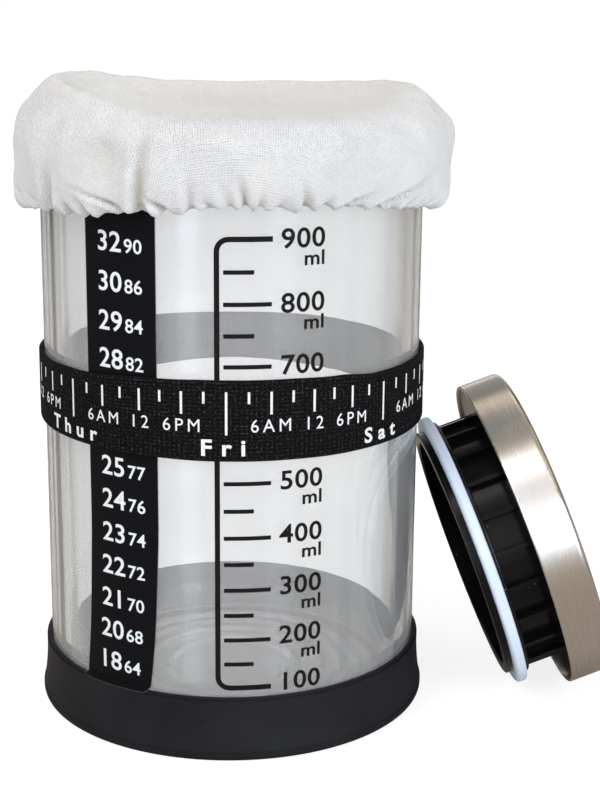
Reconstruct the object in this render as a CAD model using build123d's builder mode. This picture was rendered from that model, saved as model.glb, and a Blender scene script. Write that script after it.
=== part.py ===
from build123d import *
import os
from math import asin, atan2, cos, degrees, hypot, radians, sin, sqrt

# A one litre starter jar: a straight glass jar in a silicone boot, with a stuck-on thermometer
# strip, an elastic date band and a gathered cloth cover, and its own lid leaning beside it.
# Millimetres, +Z up, origin on the table under the middle of the jar, -Y is the front.

# How far cutting shapes run past the faces that they cut
overrun = 2.0

# Glass jar
jar_diameter = 102.5
body_height = 143.5
glass_wall = 4.5
glass_floor = 3.5
shoulder_inset = 7.25
shoulder_step = 1.0
neck_wall = 4.6
neck_height = 7.25
neck_round = 1.0
bead_projection = 2.0
bead_height = 5.0
bead_round = 1.5
mouth_round = 3.5
heel_round = 5.0
floor_round = 9.0
push_up_depth = 0.9
bearing_width = 9.0
base_groove_width = 1.6
base_groove_depth = 0.35
base_groove_pitch = 5.0
base_groove_count = 3

# Silicone boot that the jar stands in
boot_floor = 2.0
boot_height = 17.4
boot_lip_wall = 1.2
boot_clearance = 0.3
boot_flare = 1.25
boot_waist = 0.35
boot_foot_round = 1.5
boot_ledge_height = 2.6
boot_ledge_step = 0.2
boot_lip_step_height = 0.9
boot_lip_step_depth = 0.5

# Thermometer strip stuck to the glass, angles measured from the front
strip_thickness = 0.15
strip_glue_gap = 0.08
strip_start_angle = -45.3
strip_end_angle = -21.5
strip_lower_gap = 0.4
strip_top_gap = 1.0
strip_corner_round = 1.8

# Elastic date band round the jar, sewn into a loop at the back
band_width = 20.0
band_thickness = 1.0
band_clearance = 0.2
band_height = 82.2
band_edge_round = 0.35
band_seam_length = 12.0
band_seam_thickness = 0.8
band_stitch_width = 0.8
band_stitch_height = 0.3
band_stitch_inset = 1.6

# Gathered cloth cover and the elastic in its hem
cloth_thickness = 0.7
cloth_clearance = 0.42
hem_drop = 5.0
hem_turn_under = 0.8
elastic_width = 4.0
elastic_thickness = 1.2
elastic_fit = 0.1
lining_thickness = 1.4
crest_inset = 2.65
belly_projection = 5.85
sag_depth = 4.1
rim_clearance = 0.6
gather_count = 20
gather_depth = 2.8

# Rings of the cover from hem to crest: rise above the hem as a share of the cover's height,
# how deep a gather swells there as a share of the gather's depth, and, above the hem, how far
# out the bottom of a gather stands as a share of the way from the crest to the belly
gather_height_shares = (0.0, 0.13, 0.35, 0.60, 0.80, 0.93, 1.0)
gather_depth_shares = (0.86, 1.0, 0.57, 0.39, 0.32, 0.14, 0.07)
gather_bottom_shares = (0.73, 0.99, 1.0, 0.80, 0.41, 0.0)

# Lid: steel cap, black plug below it and the sealing ring between the plug's two flanges,
# with insets and gaps measured from the bead and the bore that they close
cap_inset = 1.1
cap_height = 12.1
cap_sheet = 0.5
cap_edge_round = 1.6
hem_edge_round = 0.4
hem_turn_height = 1.4
hem_turn_thickness = 0.45
plug_clearance = 0.05
plug_recess = 0.9
plug_plate = 2.5
plug_skirt_wall = 2.0
neck_depth = 9.6
plug_neck_gap = 5.2
plug_neck_wall = 2.2
rib_projection = 2.2
rib_thickness = 1.2
rib_count = 22
upper_flange_gap = 1.7
upper_flange_thickness = 1.3
lower_flange_gap = 2.9
lower_flange_thickness = 2.0
plug_lip_wall = 1.6
flange_round = 0.5
lip_chamfer = 0.5
gasket_squeeze = 0.6
gasket_width = 4.75
gasket_thickness = 3.1
gasket_round = 0.9
gasket_seat_gap = 0.05

# Where the lid leans beside the jar
lid_turn_angle = 4.0
lid_side_offset = -1.2
lid_lean_clearance = 0.3

# Levels and radii that follow from the sizes above
foot_level = boot_floor
body_top_level = foot_level + body_height
inner_floor_level = foot_level + glass_floor
shoulder_top_level = body_top_level + shoulder_inset
bead_level = shoulder_top_level + neck_height
rim_level = bead_level + bead_height
jar_radius = jar_diameter / 2
inner_radius = jar_radius - glass_wall
neck_radius = jar_radius - shoulder_inset
bore_radius = neck_radius - neck_wall
bead_radius = neck_radius + bead_projection
inner_shoulder_rise = inner_radius - bore_radius
inner_shoulder_top = shoulder_top_level - shoulder_step
bearing_radius = jar_radius - heel_round - bearing_width

boot_inner_radius = jar_radius + boot_clearance
boot_lip_radius = boot_inner_radius + boot_lip_wall
boot_foot_radius = boot_lip_radius + boot_flare

strip_inner_radius = jar_radius + strip_glue_gap
strip_outer_radius = strip_inner_radius + strip_thickness
strip_bottom_level = boot_height + strip_lower_gap
strip_top_level = body_top_level - strip_top_gap

band_inner_radius = strip_outer_radius + band_clearance
band_outer_radius = band_inner_radius + band_thickness
band_middle_level = band_height + band_width / 2
seam_angle = degrees(band_seam_length / band_outer_radius)

hem_level = body_top_level - hem_drop
hem_inner_radius = strip_outer_radius + cloth_clearance
elastic_inner_radius = hem_inner_radius
elastic_outer_radius = elastic_inner_radius + elastic_thickness
elastic_bottom_level = hem_level + hem_turn_under
elastic_top_level = elastic_bottom_level + elastic_width
hem_radius = elastic_outer_radius + elastic_fit + cloth_thickness
crest_radius = jar_radius - crest_inset
belly_radius = jar_radius + belly_projection

# The cover's top sags in an arc whose underside just clears the flat of the rim
sag_radius = (crest_radius ** 2 + sag_depth ** 2) / (2 * sag_depth)
rim_flat_radius = bore_radius + mouth_round
rim_flat_rise = sag_radius - sqrt(sag_radius ** 2 - rim_flat_radius ** 2)
sag_level = rim_level + rim_clearance + cloth_thickness - rim_flat_rise
crest_level = sag_level + sag_depth
cover_height = crest_level - hem_level

cap_radius = bead_radius - cap_inset
cap_inner_radius = cap_radius - cap_sheet
gasket_radius = bore_radius + gasket_squeeze
seat_radius = gasket_radius - gasket_width - gasket_seat_gap
upper_flange_radius = bore_radius - upper_flange_gap
lower_flange_radius = bore_radius - lower_flange_gap
plug_neck_radius = bore_radius - plug_neck_gap
plug_radius = cap_inner_radius - plug_clearance
plug_top_station = cap_height - cap_sheet
plate_top_station = plug_recess + hem_turn_height - hem_turn_thickness + plug_plate
neck_station = -neck_depth
upper_flange_station = neck_station - upper_flange_thickness
gasket_station = upper_flange_station - gasket_thickness
lower_flange_station = gasket_station - lower_flange_thickness
plug_neck_bore = plug_neck_radius - plug_neck_wall
plug_lip_bore = seat_radius - plug_lip_wall

# The lid stands on the rounded edge of its cap and on the rounded edge of its sealing ring,
# which settles how far it leans
edge_span = hem_edge_round - gasket_station - gasket_round
edge_drop = cap_radius - hem_edge_round - gasket_radius + gasket_round
edge_difference = hem_edge_round - gasket_round
lid_lean = asin(edge_difference / hypot(edge_span, edge_drop)) + atan2(edge_drop, edge_span)
lid_turn = radians(lid_turn_angle)

# It leans towards the jar as near as the date band lets it when the band slides past
lean_limit = sqrt((band_outer_radius + lid_lean_clearance) ** 2 - lid_side_offset ** 2)
lid_distance = lean_limit - lower_flange_station * cos(lid_lean) + lower_flange_radius * sin(lid_lean)
lid_level = (cap_radius - hem_edge_round) * cos(lid_lean) + hem_edge_round * (1 - sin(lid_lean))

lid_heading = Vector(cos(lid_turn), sin(lid_turn), 0)
lid_across = Vector(-sin(lid_turn), cos(lid_turn), 0)
lid_direction = lid_heading * cos(lid_lean) + Vector(0, 0, sin(lid_lean))
lid_origin = lid_heading * lid_distance + lid_across * lid_side_offset + Vector(0, 0, lid_level)
lid_axis = Axis(lid_origin, lid_direction)
lid_section = Plane(origin=lid_origin, x_dir=lid_across, z_dir=lid_across.cross(lid_direction))


def lid_face(station):
    """Plane square to the lid's axis, a station above the lower edge of its cap."""
    return Plane(origin=lid_origin + lid_direction * station, x_dir=lid_across, z_dir=lid_direction)


def upright_plane(front_angle):
    """Upright plane through the jar's axis, turned by an angle from the front."""
    heading = radians(front_angle - 90)
    outward = Vector(cos(heading), sin(heading), 0)
    return Plane(origin=(0, 0, 0), x_dir=outward, z_dir=outward.cross(Vector(0, 0, 1)))


def corner(section, radius, level):
    """Corner of a section that lies nearest to a radius and a level."""
    return section.vertices().sort_by_distance((radius, level))[0]


# Silicone boot: a shallow cup, waisted between its thin lip and its wider foot
ledge_radius = boot_foot_radius - boot_ledge_step
lip_step_level = boot_height - boot_lip_step_height
lip_step_radius = boot_lip_radius - boot_lip_step_depth
waist_level = (boot_ledge_height + lip_step_level) / 2
waist_radius = (ledge_radius + boot_lip_radius) / 2 - boot_waist
with BuildPart() as silicone_boot:
    with BuildSketch(Plane.XZ) as boot_section:
        with BuildLine():
            Polyline((0, boot_floor), (0, 0), (boot_foot_radius, 0), (boot_foot_radius, boot_ledge_height),
                     (ledge_radius, boot_ledge_height))
            ThreePointArc((ledge_radius, boot_ledge_height), (waist_radius, waist_level),
                          (boot_lip_radius, lip_step_level))
            Polyline((boot_lip_radius, lip_step_level), (lip_step_radius, lip_step_level),
                     (lip_step_radius, boot_height), (boot_inner_radius, boot_height),
                     (boot_inner_radius, boot_floor), (0, boot_floor))
        make_face()
        fillet(corner(boot_section, boot_foot_radius, 0), boot_foot_round)
    revolve(axis=Axis.Z)
silicone_boot.part.label = "silicone_boot"

# Glass jar: straight wall, quarter-round shoulder, short neck and a beaded rim
with BuildPart() as glass_jar:
    with BuildSketch(Plane.XZ) as jar_section:
        with BuildLine():
            TangentArc((0, foot_level + push_up_depth), (bearing_radius, foot_level), tangent=(1, 0))
            Line((bearing_radius, foot_level), (jar_radius - heel_round, foot_level))
            TangentArc((jar_radius - heel_round, foot_level), (jar_radius, foot_level + heel_round),
                       tangent=(1, 0))
            Line((jar_radius, foot_level + heel_round), (jar_radius, body_top_level))
            TangentArc((jar_radius, body_top_level), (neck_radius, shoulder_top_level), tangent=(0, 1))
            Polyline((neck_radius, shoulder_top_level), (neck_radius, bead_level), (bead_radius, bead_level),
                     (bead_radius, rim_level), (bore_radius, rim_level), (bore_radius, inner_shoulder_top))
            TangentArc((bore_radius, inner_shoulder_top),
                       (inner_radius, inner_shoulder_top - inner_shoulder_rise), tangent=(1, 0))
            Line((inner_radius, inner_shoulder_top - inner_shoulder_rise),
                 (inner_radius, inner_floor_level + floor_round))
            TangentArc((inner_radius, inner_floor_level + floor_round),
                       (inner_radius - floor_round, inner_floor_level), tangent=(0, -1))
            Polyline((inner_radius - floor_round, inner_floor_level), (0, inner_floor_level),
                     (0, foot_level + push_up_depth))
        make_face()
        fillet(corner(jar_section, bead_radius, rim_level), bead_round)
        fillet(corner(jar_section, bore_radius, rim_level), mouth_round)
        fillet(corner(jar_section, bead_radius, bead_level), bead_round)
        fillet(corner(jar_section, neck_radius, shoulder_top_level), neck_round)
    revolve(axis=Axis.Z)
    # Pressed rings in the underside of the base
    with BuildSketch(Plane.XZ):
        for ring in range(base_groove_count):
            ring_radius = bearing_radius + bearing_width / 2 - ring * base_groove_pitch
            with Locations((ring_radius, foot_level)):
                Rectangle(base_groove_width, 2 * base_groove_depth)
    revolve(axis=Axis.Z, mode=Mode.SUBTRACT)
glass_jar.part.label = "glass_jar"

# Thermometer strip: a thin label bent round the glass, with rounded corners
with BuildPart() as thermometer_strip:
    with BuildSketch(upright_plane(strip_start_angle)):
        with Locations((strip_inner_radius, strip_bottom_level)):
            Rectangle(strip_thickness, strip_top_level - strip_bottom_level, align=(Align.MIN, Align.MIN))
    revolve(axis=Axis.Z, revolution_arc=strip_end_angle - strip_start_angle)
    corner_edges = thermometer_strip.edges().sort_by(SortBy.LENGTH)[0:4]
    fillet(corner_edges, strip_corner_round)
thermometer_strip.part.label = "thermometer_strip"

# Date band: a flat woven loop, doubled and stitched where its ends overlap at the back
with BuildPart() as date_band:
    with BuildSketch(Plane.XZ):
        with Locations((band_inner_radius + band_thickness / 2, band_middle_level)):
            RectangleRounded(band_thickness, band_width, band_edge_round)
    revolve(axis=Axis.Z)
    with BuildSketch(upright_plane(180 - seam_angle / 2)):
        with Locations((band_outer_radius - band_edge_round, band_middle_level)):
            Rectangle(band_seam_thickness + band_edge_round, band_width - 2 * band_edge_round,
                      align=(Align.MIN, Align.CENTER))
    revolve(axis=Axis.Z, revolution_arc=seam_angle)
    stitch_radius = band_outer_radius + band_seam_thickness
    stitch_angle = seam_angle / 2 - degrees(band_stitch_inset / stitch_radius)
    for side in (-1, 1):
        with BuildSketch(upright_plane(180 + side * stitch_angle)):
            with Locations((stitch_radius, band_middle_level)):
                Rectangle(2 * band_stitch_height, band_width - 2 * band_stitch_inset)
        extrude(amount=band_stitch_width / 2, both=True)
date_band.part.label = "date_band"

# Cloth cover: gathers that swell out of the hem and die away towards the crest, over a
# sagging top
with BuildPart() as cloth_cover:
    gather_step = 360 / gather_count
    ring_levels = [hem_level + share * cover_height for share in gather_height_shares]
    ring_radii = [crest_radius + share * (belly_radius - crest_radius) for share in gather_bottom_shares]
    ring_radii.insert(0, hem_radius)
    for ring_level, bottom_radius, depth_share in zip(ring_levels, ring_radii, gather_depth_shares):
        swell_radius = bottom_radius + depth_share * gather_depth
        with BuildSketch(Plane.XY.offset(ring_level)):
            with BuildLine():
                for gather in range(gather_count):
                    first = radians(gather * gather_step)
                    middle = radians((gather + 1 / 2) * gather_step)
                    last = radians((gather + 1) % gather_count * gather_step)
                    ThreePointArc((bottom_radius * cos(first), bottom_radius * sin(first)),
                                  (swell_radius * cos(middle), swell_radius * sin(middle)),
                                  (bottom_radius * cos(last), bottom_radius * sin(last)))
            make_face()
    loft()
    # The sagging top, cut down to the middle from the crest
    with BuildSketch(Plane.XZ):
        with BuildLine():
            TangentArc((0, sag_level), (crest_radius, crest_level), tangent=(1, 0))
            Polyline((crest_radius, crest_level), (crest_radius, crest_level + overrun),
                     (0, crest_level + overrun), (0, sag_level))
        make_face()
    revolve(axis=Axis.Z, mode=Mode.SUBTRACT)
    # The space inside, with the hem's channel for the elastic
    groove_radius = elastic_outer_radius + elastic_fit
    groove_bottom = elastic_bottom_level - elastic_fit
    groove_top = elastic_top_level + elastic_fit
    lining_radii = [radius - lining_thickness for radius in ring_radii]
    with BuildSketch(Plane.XZ):
        with BuildLine():
            Polyline((0, hem_level - overrun), (hem_inner_radius, hem_level - overrun),
                     (hem_inner_radius, groove_bottom), (groove_radius, groove_bottom),
                     (groove_radius, groove_top), (lining_radii[2], ring_levels[2]),
                     (lining_radii[3], ring_levels[3]), (lining_radii[4], ring_levels[4]),
                     (lining_radii[5], ring_levels[5] - cloth_thickness))
            Line((lining_radii[5], ring_levels[5] - cloth_thickness),
                 (crest_radius, crest_level - cloth_thickness))
            TangentArc((0, sag_level - cloth_thickness), (crest_radius, crest_level - cloth_thickness),
                       tangent=(1, 0))
            Line((0, sag_level - cloth_thickness), (0, hem_level - overrun))
        make_face()
    revolve(axis=Axis.Z, mode=Mode.SUBTRACT)
cloth_cover.part.label = "cloth_cover"

# Flat elastic in the hem's channel
with BuildPart() as cover_elastic:
    with BuildSketch(Plane.XZ):
        with Locations((elastic_inner_radius, elastic_bottom_level)):
            Rectangle(elastic_thickness, elastic_width, align=(Align.MIN, Align.MIN))
    revolve(axis=Axis.Z)
cover_elastic.part.label = "cover_elastic"

# Steel cap: a drawn sheet cup with its lower edge folded inwards
fold_radius = cap_inner_radius - hem_turn_thickness
with BuildPart() as lid_cap:
    with BuildSketch(lid_section) as cap_section:
        with BuildLine():
            Polyline((0, cap_height), (cap_radius, cap_height), (cap_radius, 0), (fold_radius, 0),
                     (fold_radius, hem_turn_height), (cap_inner_radius, hem_turn_height),
                     (cap_inner_radius, plug_top_station), (0, plug_top_station), (0, cap_height))
        make_face()
        fillet(corner(cap_section, cap_radius, cap_height), cap_edge_round)
        fillet(corner(cap_section, cap_inner_radius, plug_top_station), cap_edge_round - cap_sheet)
        fillet(corner(cap_section, cap_radius, 0), hem_edge_round)
        fillet(corner(cap_section, fold_radius, 0), hem_edge_round)
    revolve(axis=lid_axis)
lid_cap.part.label = "lid_cap"

# Plug: plate and skirt inside the cap, ribbed neck, and two flanges with the seat between them
shoulder_radius = fold_radius - plug_clearance
skirt_station = hem_turn_height + plug_clearance
with BuildPart() as lid_plug:
    with BuildSketch(lid_section) as plug_section:
        with BuildLine():
            Polyline((0, plate_top_station), (plug_radius - plug_skirt_wall, plate_top_station),
                     (plug_radius - plug_skirt_wall, plug_top_station), (plug_radius, plug_top_station),
                     (plug_radius, skirt_station), (shoulder_radius, skirt_station),
                     (shoulder_radius, plug_recess), (plug_neck_radius, plug_recess),
                     (plug_neck_radius, neck_station), (upper_flange_radius, neck_station),
                     (upper_flange_radius, upper_flange_station), (seat_radius, upper_flange_station),
                     (seat_radius, gasket_station), (lower_flange_radius, gasket_station),
                     (lower_flange_radius, lower_flange_station), (plug_lip_bore, lower_flange_station),
                     (plug_lip_bore, upper_flange_station), (plug_neck_bore, upper_flange_station),
                     (plug_neck_bore, plug_recess), (0, plug_recess), (0, plate_top_station))
        make_face()
        fillet(corner(plug_section, plug_radius, plug_top_station), cap_edge_round)
        fillet(corner(plug_section, upper_flange_radius, neck_station), flange_round)
        fillet(corner(plug_section, lower_flange_radius, lower_flange_station), flange_round)
        chamfer(corner(plug_section, plug_lip_bore, lower_flange_station), lip_chamfer)
    revolve(axis=lid_axis)
    rib_length = rib_projection + plug_neck_wall / 2
    rib_middle_radius = plug_neck_radius + rib_projection - rib_length / 2
    with BuildSketch(lid_face(neck_station)):
        with PolarLocations(rib_middle_radius, rib_count):
            Rectangle(rib_length, rib_thickness)
    extrude(amount=neck_depth + plug_recess)
lid_plug.part.label = "lid_plug"

# Sealing ring held between the flanges
with BuildPart() as lid_gasket:
    with BuildSketch(lid_section) as ring_section:
        with Locations((seat_radius + gasket_seat_gap, gasket_station)):
            Rectangle(gasket_radius - seat_radius - gasket_seat_gap, gasket_thickness,
                      align=(Align.MIN, Align.MIN))
        fillet(corner(ring_section, gasket_radius, gasket_station), gasket_round)
        fillet(corner(ring_section, gasket_radius, upper_flange_station), gasket_round)
    revolve(axis=lid_axis)
lid_gasket.part.label = "lid_gasket"

# What a mating piece or a joint needs to know
print(f"lid leans {degrees(lid_lean):.2f} degrees, heading {lid_turn_angle:.2f} degrees")
print(f"lid origin {lid_origin.X:.3f} {lid_origin.Y:.3f} {lid_origin.Z:.3f}")
print(f"rim level {rim_level:.2f}, band outer radius {band_outer_radius:.2f}")

os.makedirs("parts", exist_ok=True)
export_step(silicone_boot.part, "parts/silicone_boot.step")
export_step(glass_jar.part, "parts/glass_jar.step")
export_step(thermometer_strip.part, "parts/thermometer_strip.step")
export_step(date_band.part, "parts/date_band.step")
export_step(cloth_cover.part, "parts/cloth_cover.step")
export_step(cover_elastic.part, "parts/cover_elastic.step")
export_step(lid_cap.part, "parts/lid_cap.step")
export_step(lid_plug.part, "parts/lid_plug.step")
export_step(lid_gasket.part, "parts/lid_gasket.step")
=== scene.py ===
"""Visual model of a glass starter jar with its boot, strip, date band, cloth cover and plug lid."""
import bisect
import logging
import math
from dataclasses import dataclass, field
from enum import Enum

import bmesh
import bpy
from mathutils import Matrix, Vector, noise


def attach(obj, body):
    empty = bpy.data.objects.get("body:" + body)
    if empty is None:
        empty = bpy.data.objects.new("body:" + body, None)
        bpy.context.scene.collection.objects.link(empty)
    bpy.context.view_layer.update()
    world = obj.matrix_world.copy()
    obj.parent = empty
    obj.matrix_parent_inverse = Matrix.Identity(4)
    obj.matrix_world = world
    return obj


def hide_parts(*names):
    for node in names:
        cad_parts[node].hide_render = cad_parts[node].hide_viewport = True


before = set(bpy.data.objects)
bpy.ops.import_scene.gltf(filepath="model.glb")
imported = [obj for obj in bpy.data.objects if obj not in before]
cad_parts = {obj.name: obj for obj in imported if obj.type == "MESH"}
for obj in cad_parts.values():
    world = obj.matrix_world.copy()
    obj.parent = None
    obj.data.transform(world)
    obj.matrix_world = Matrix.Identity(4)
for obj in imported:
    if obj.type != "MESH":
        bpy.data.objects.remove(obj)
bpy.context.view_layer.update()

log = logging.getLogger("starter_jar")

MM = 0.001
TURN = 2 * math.pi
# Height of a figure in the built-in font at size 1
FIGURE_HEIGHT = 0.729
# A vertex nearer to a cutting plane than this is on it, in metres
CUT_REACH = 1e-8

Colour = tuple[float, float, float]
Corner = tuple[float, float, float]
Span = tuple[float, float]
Number = float | bpy.types.NodeSocket


class Body(Enum):
    """The CAD bodies that the scene's own pieces ride on."""

    JAR = "jar"
    BAND = "band"
    COVER = "cover"


class Align(Enum):
    """Where a line of lettering stands beside its angle."""

    CENTRE = "CENTER"
    RIGHT = "RIGHT"


# Shader graphs


class Graph:
    """Adds nodes to a node tree and links them."""

    # The part of a soft noise that a finish's tone and roughness follow
    CLOUD: Span = (0.3, 0.7)

    def __init__(self, tree: bpy.types.NodeTree) -> None:
        """Wrap a tree.

        Args:
            tree: The node tree that nodes are added to.
        """
        self.tree = tree

    def feed(self, node: bpy.types.Node, inputs: dict) -> bpy.types.Node:
        """Give a node's inputs their values.

        Args:
            node: The node.
            inputs: Values or output sockets, by the name or the number of the input.

        Returns:
            The same node.
        """
        for name, value in inputs.items():
            if isinstance(value, bpy.types.NodeSocket):
                self.tree.links.new(value, node.inputs[name])
            elif node.inputs[name].type == "RGBA":
                node.inputs[name].default_value = (*value, 1.0)
            else:
                node.inputs[name].default_value = value
        return node

    def add(self, kind: str, settings: dict | None = None, inputs: dict | None = None) -> bpy.types.Node:
        """Add one shader node.

        Args:
            kind: The node's type without its ShaderNode prefix.
            settings: Properties of the node.
            inputs: Values or output sockets, by the name or the number of the input.

        Returns:
            The new node.
        """
        node = self.tree.nodes.new("ShaderNode" + kind)
        for name, value in (settings or {}).items():
            setattr(node, name, value)
        return self.feed(node, inputs or {})

    def object_place(self) -> bpy.types.NodeSocket:
        """Place on the piece, in metres."""
        return self.add("TexCoord").outputs["Object"]

    def math(self, operation: str, *values: Number) -> bpy.types.NodeSocket:
        """Work out one number from others and return its socket."""
        return self.add("Math", {"operation": operation}, dict(enumerate(values))).outputs[0]

    def vector(self, operation: str, first: object, second: object = None,
               result: str = "Vector") -> bpy.types.NodeSocket:
        """Work out a vector or a number from vectors.

        Args:
            operation: The kind of sum.
            first: The first vector, or its socket.
            second: The second vector, or the number for SCALE, if there is one.
            result: The output, Vector or Value.

        Returns:
            The result's socket.
        """
        inputs = {0: first}
        if second is not None:
            inputs["Scale" if operation == "SCALE" else 1] = second
        return self.add("VectorMath", {"operation": operation}, inputs).outputs[result]

    def noise(self, place: bpy.types.NodeSocket, scale: Number, detail: float = 2.0,
              roughness: float = 0.5) -> bpy.types.NodeSocket:
        """Read a noise at a place and return its number's socket.

        Args:
            place: Where to read it.
            scale: How fine it is, in cells to the metre.
            detail: How many finer layers it has.
            roughness: How strong the finer layers are.

        Returns:
            The number's socket, from 0 to 1.
        """
        return self.add("TexNoise", None, {"Vector": place, "Scale": scale, "Detail": detail,
                                           "Roughness": roughness}).outputs[0]

    def blend(self, share: Number, first: object, second: object, way: str = "MIX") -> bpy.types.NodeSocket:
        """Mix two colours.

        Args:
            share: How much of the second colour shows.
            first: The first colour, or its socket.
            second: The second colour, or its socket.
            way: How they mix.

        Returns:
            The mixed colour's socket.
        """
        return self.add("Mix", {"data_type": "RGBA", "blend_type": way},
                        {0: share, 6: first, 7: second}).outputs[2]

    def spread(self, value: bpy.types.NodeSocket, low: float, high: float,
               new_low: float, new_high: float) -> bpy.types.NodeSocket:
        """Map a range of numbers to another, clamped at its ends.

        Args:
            value: The number's socket.
            low: Where the first range starts.
            high: Where it ends.
            new_low: What its start becomes.
            new_high: What its end becomes.

        Returns:
            The new number's socket.
        """
        return self.add("MapRange", None, {0: value, 1: low, 2: high, 3: new_low, 4: new_high}).outputs[0]

    def uneven(self, cloud: bpy.types.NodeSocket, roughness: Span) -> bpy.types.NodeSocket:
        """Let a finish's roughness follow a soft noise."""
        return self.spread(cloud, *self.CLOUD, *roughness)

    def ramp(self, value: bpy.types.NodeSocket, stops: list[tuple[float, Colour]]) -> bpy.types.NodeSocket:
        """Read a colour off a ramp.

        Args:
            value: Where on the ramp, from 0 to 1.
            stops: Places and their colours, in order.

        Returns:
            The colour's socket.
        """
        node = self.add("ValToRGB", None, {0: value})
        elements = node.color_ramp.elements
        while len(elements) > 1:
            elements.remove(elements[-1])
        elements[0].position, elements[0].color = stops[0][0], (*stops[0][1], 1.0)
        for place, colour in stops[1:]:
            elements.new(place).color = (*colour, 1.0)
        return node.outputs[0]

    def bump(self, height: bpy.types.NodeSocket, distance: float) -> bpy.types.NodeSocket:
        """Turn a height into a normal, with the height's full scale in metres."""
        return self.add("Bump", None, {"Height": height, "Distance": distance, "Strength": 1.0}).outputs[0]

    def mixed_surface(self, share: Number, first: bpy.types.Node, second: bpy.types.Node) -> bpy.types.Node:
        """Mix two shaders.

        Args:
            share: How much of the second one shows.
            first: The first shader.
            second: The second shader.

        Returns:
            The mixed shader.
        """
        return self.add("MixShader", None, {0: share, 1: first.outputs[0], 2: second.outputs[0]})


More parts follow.
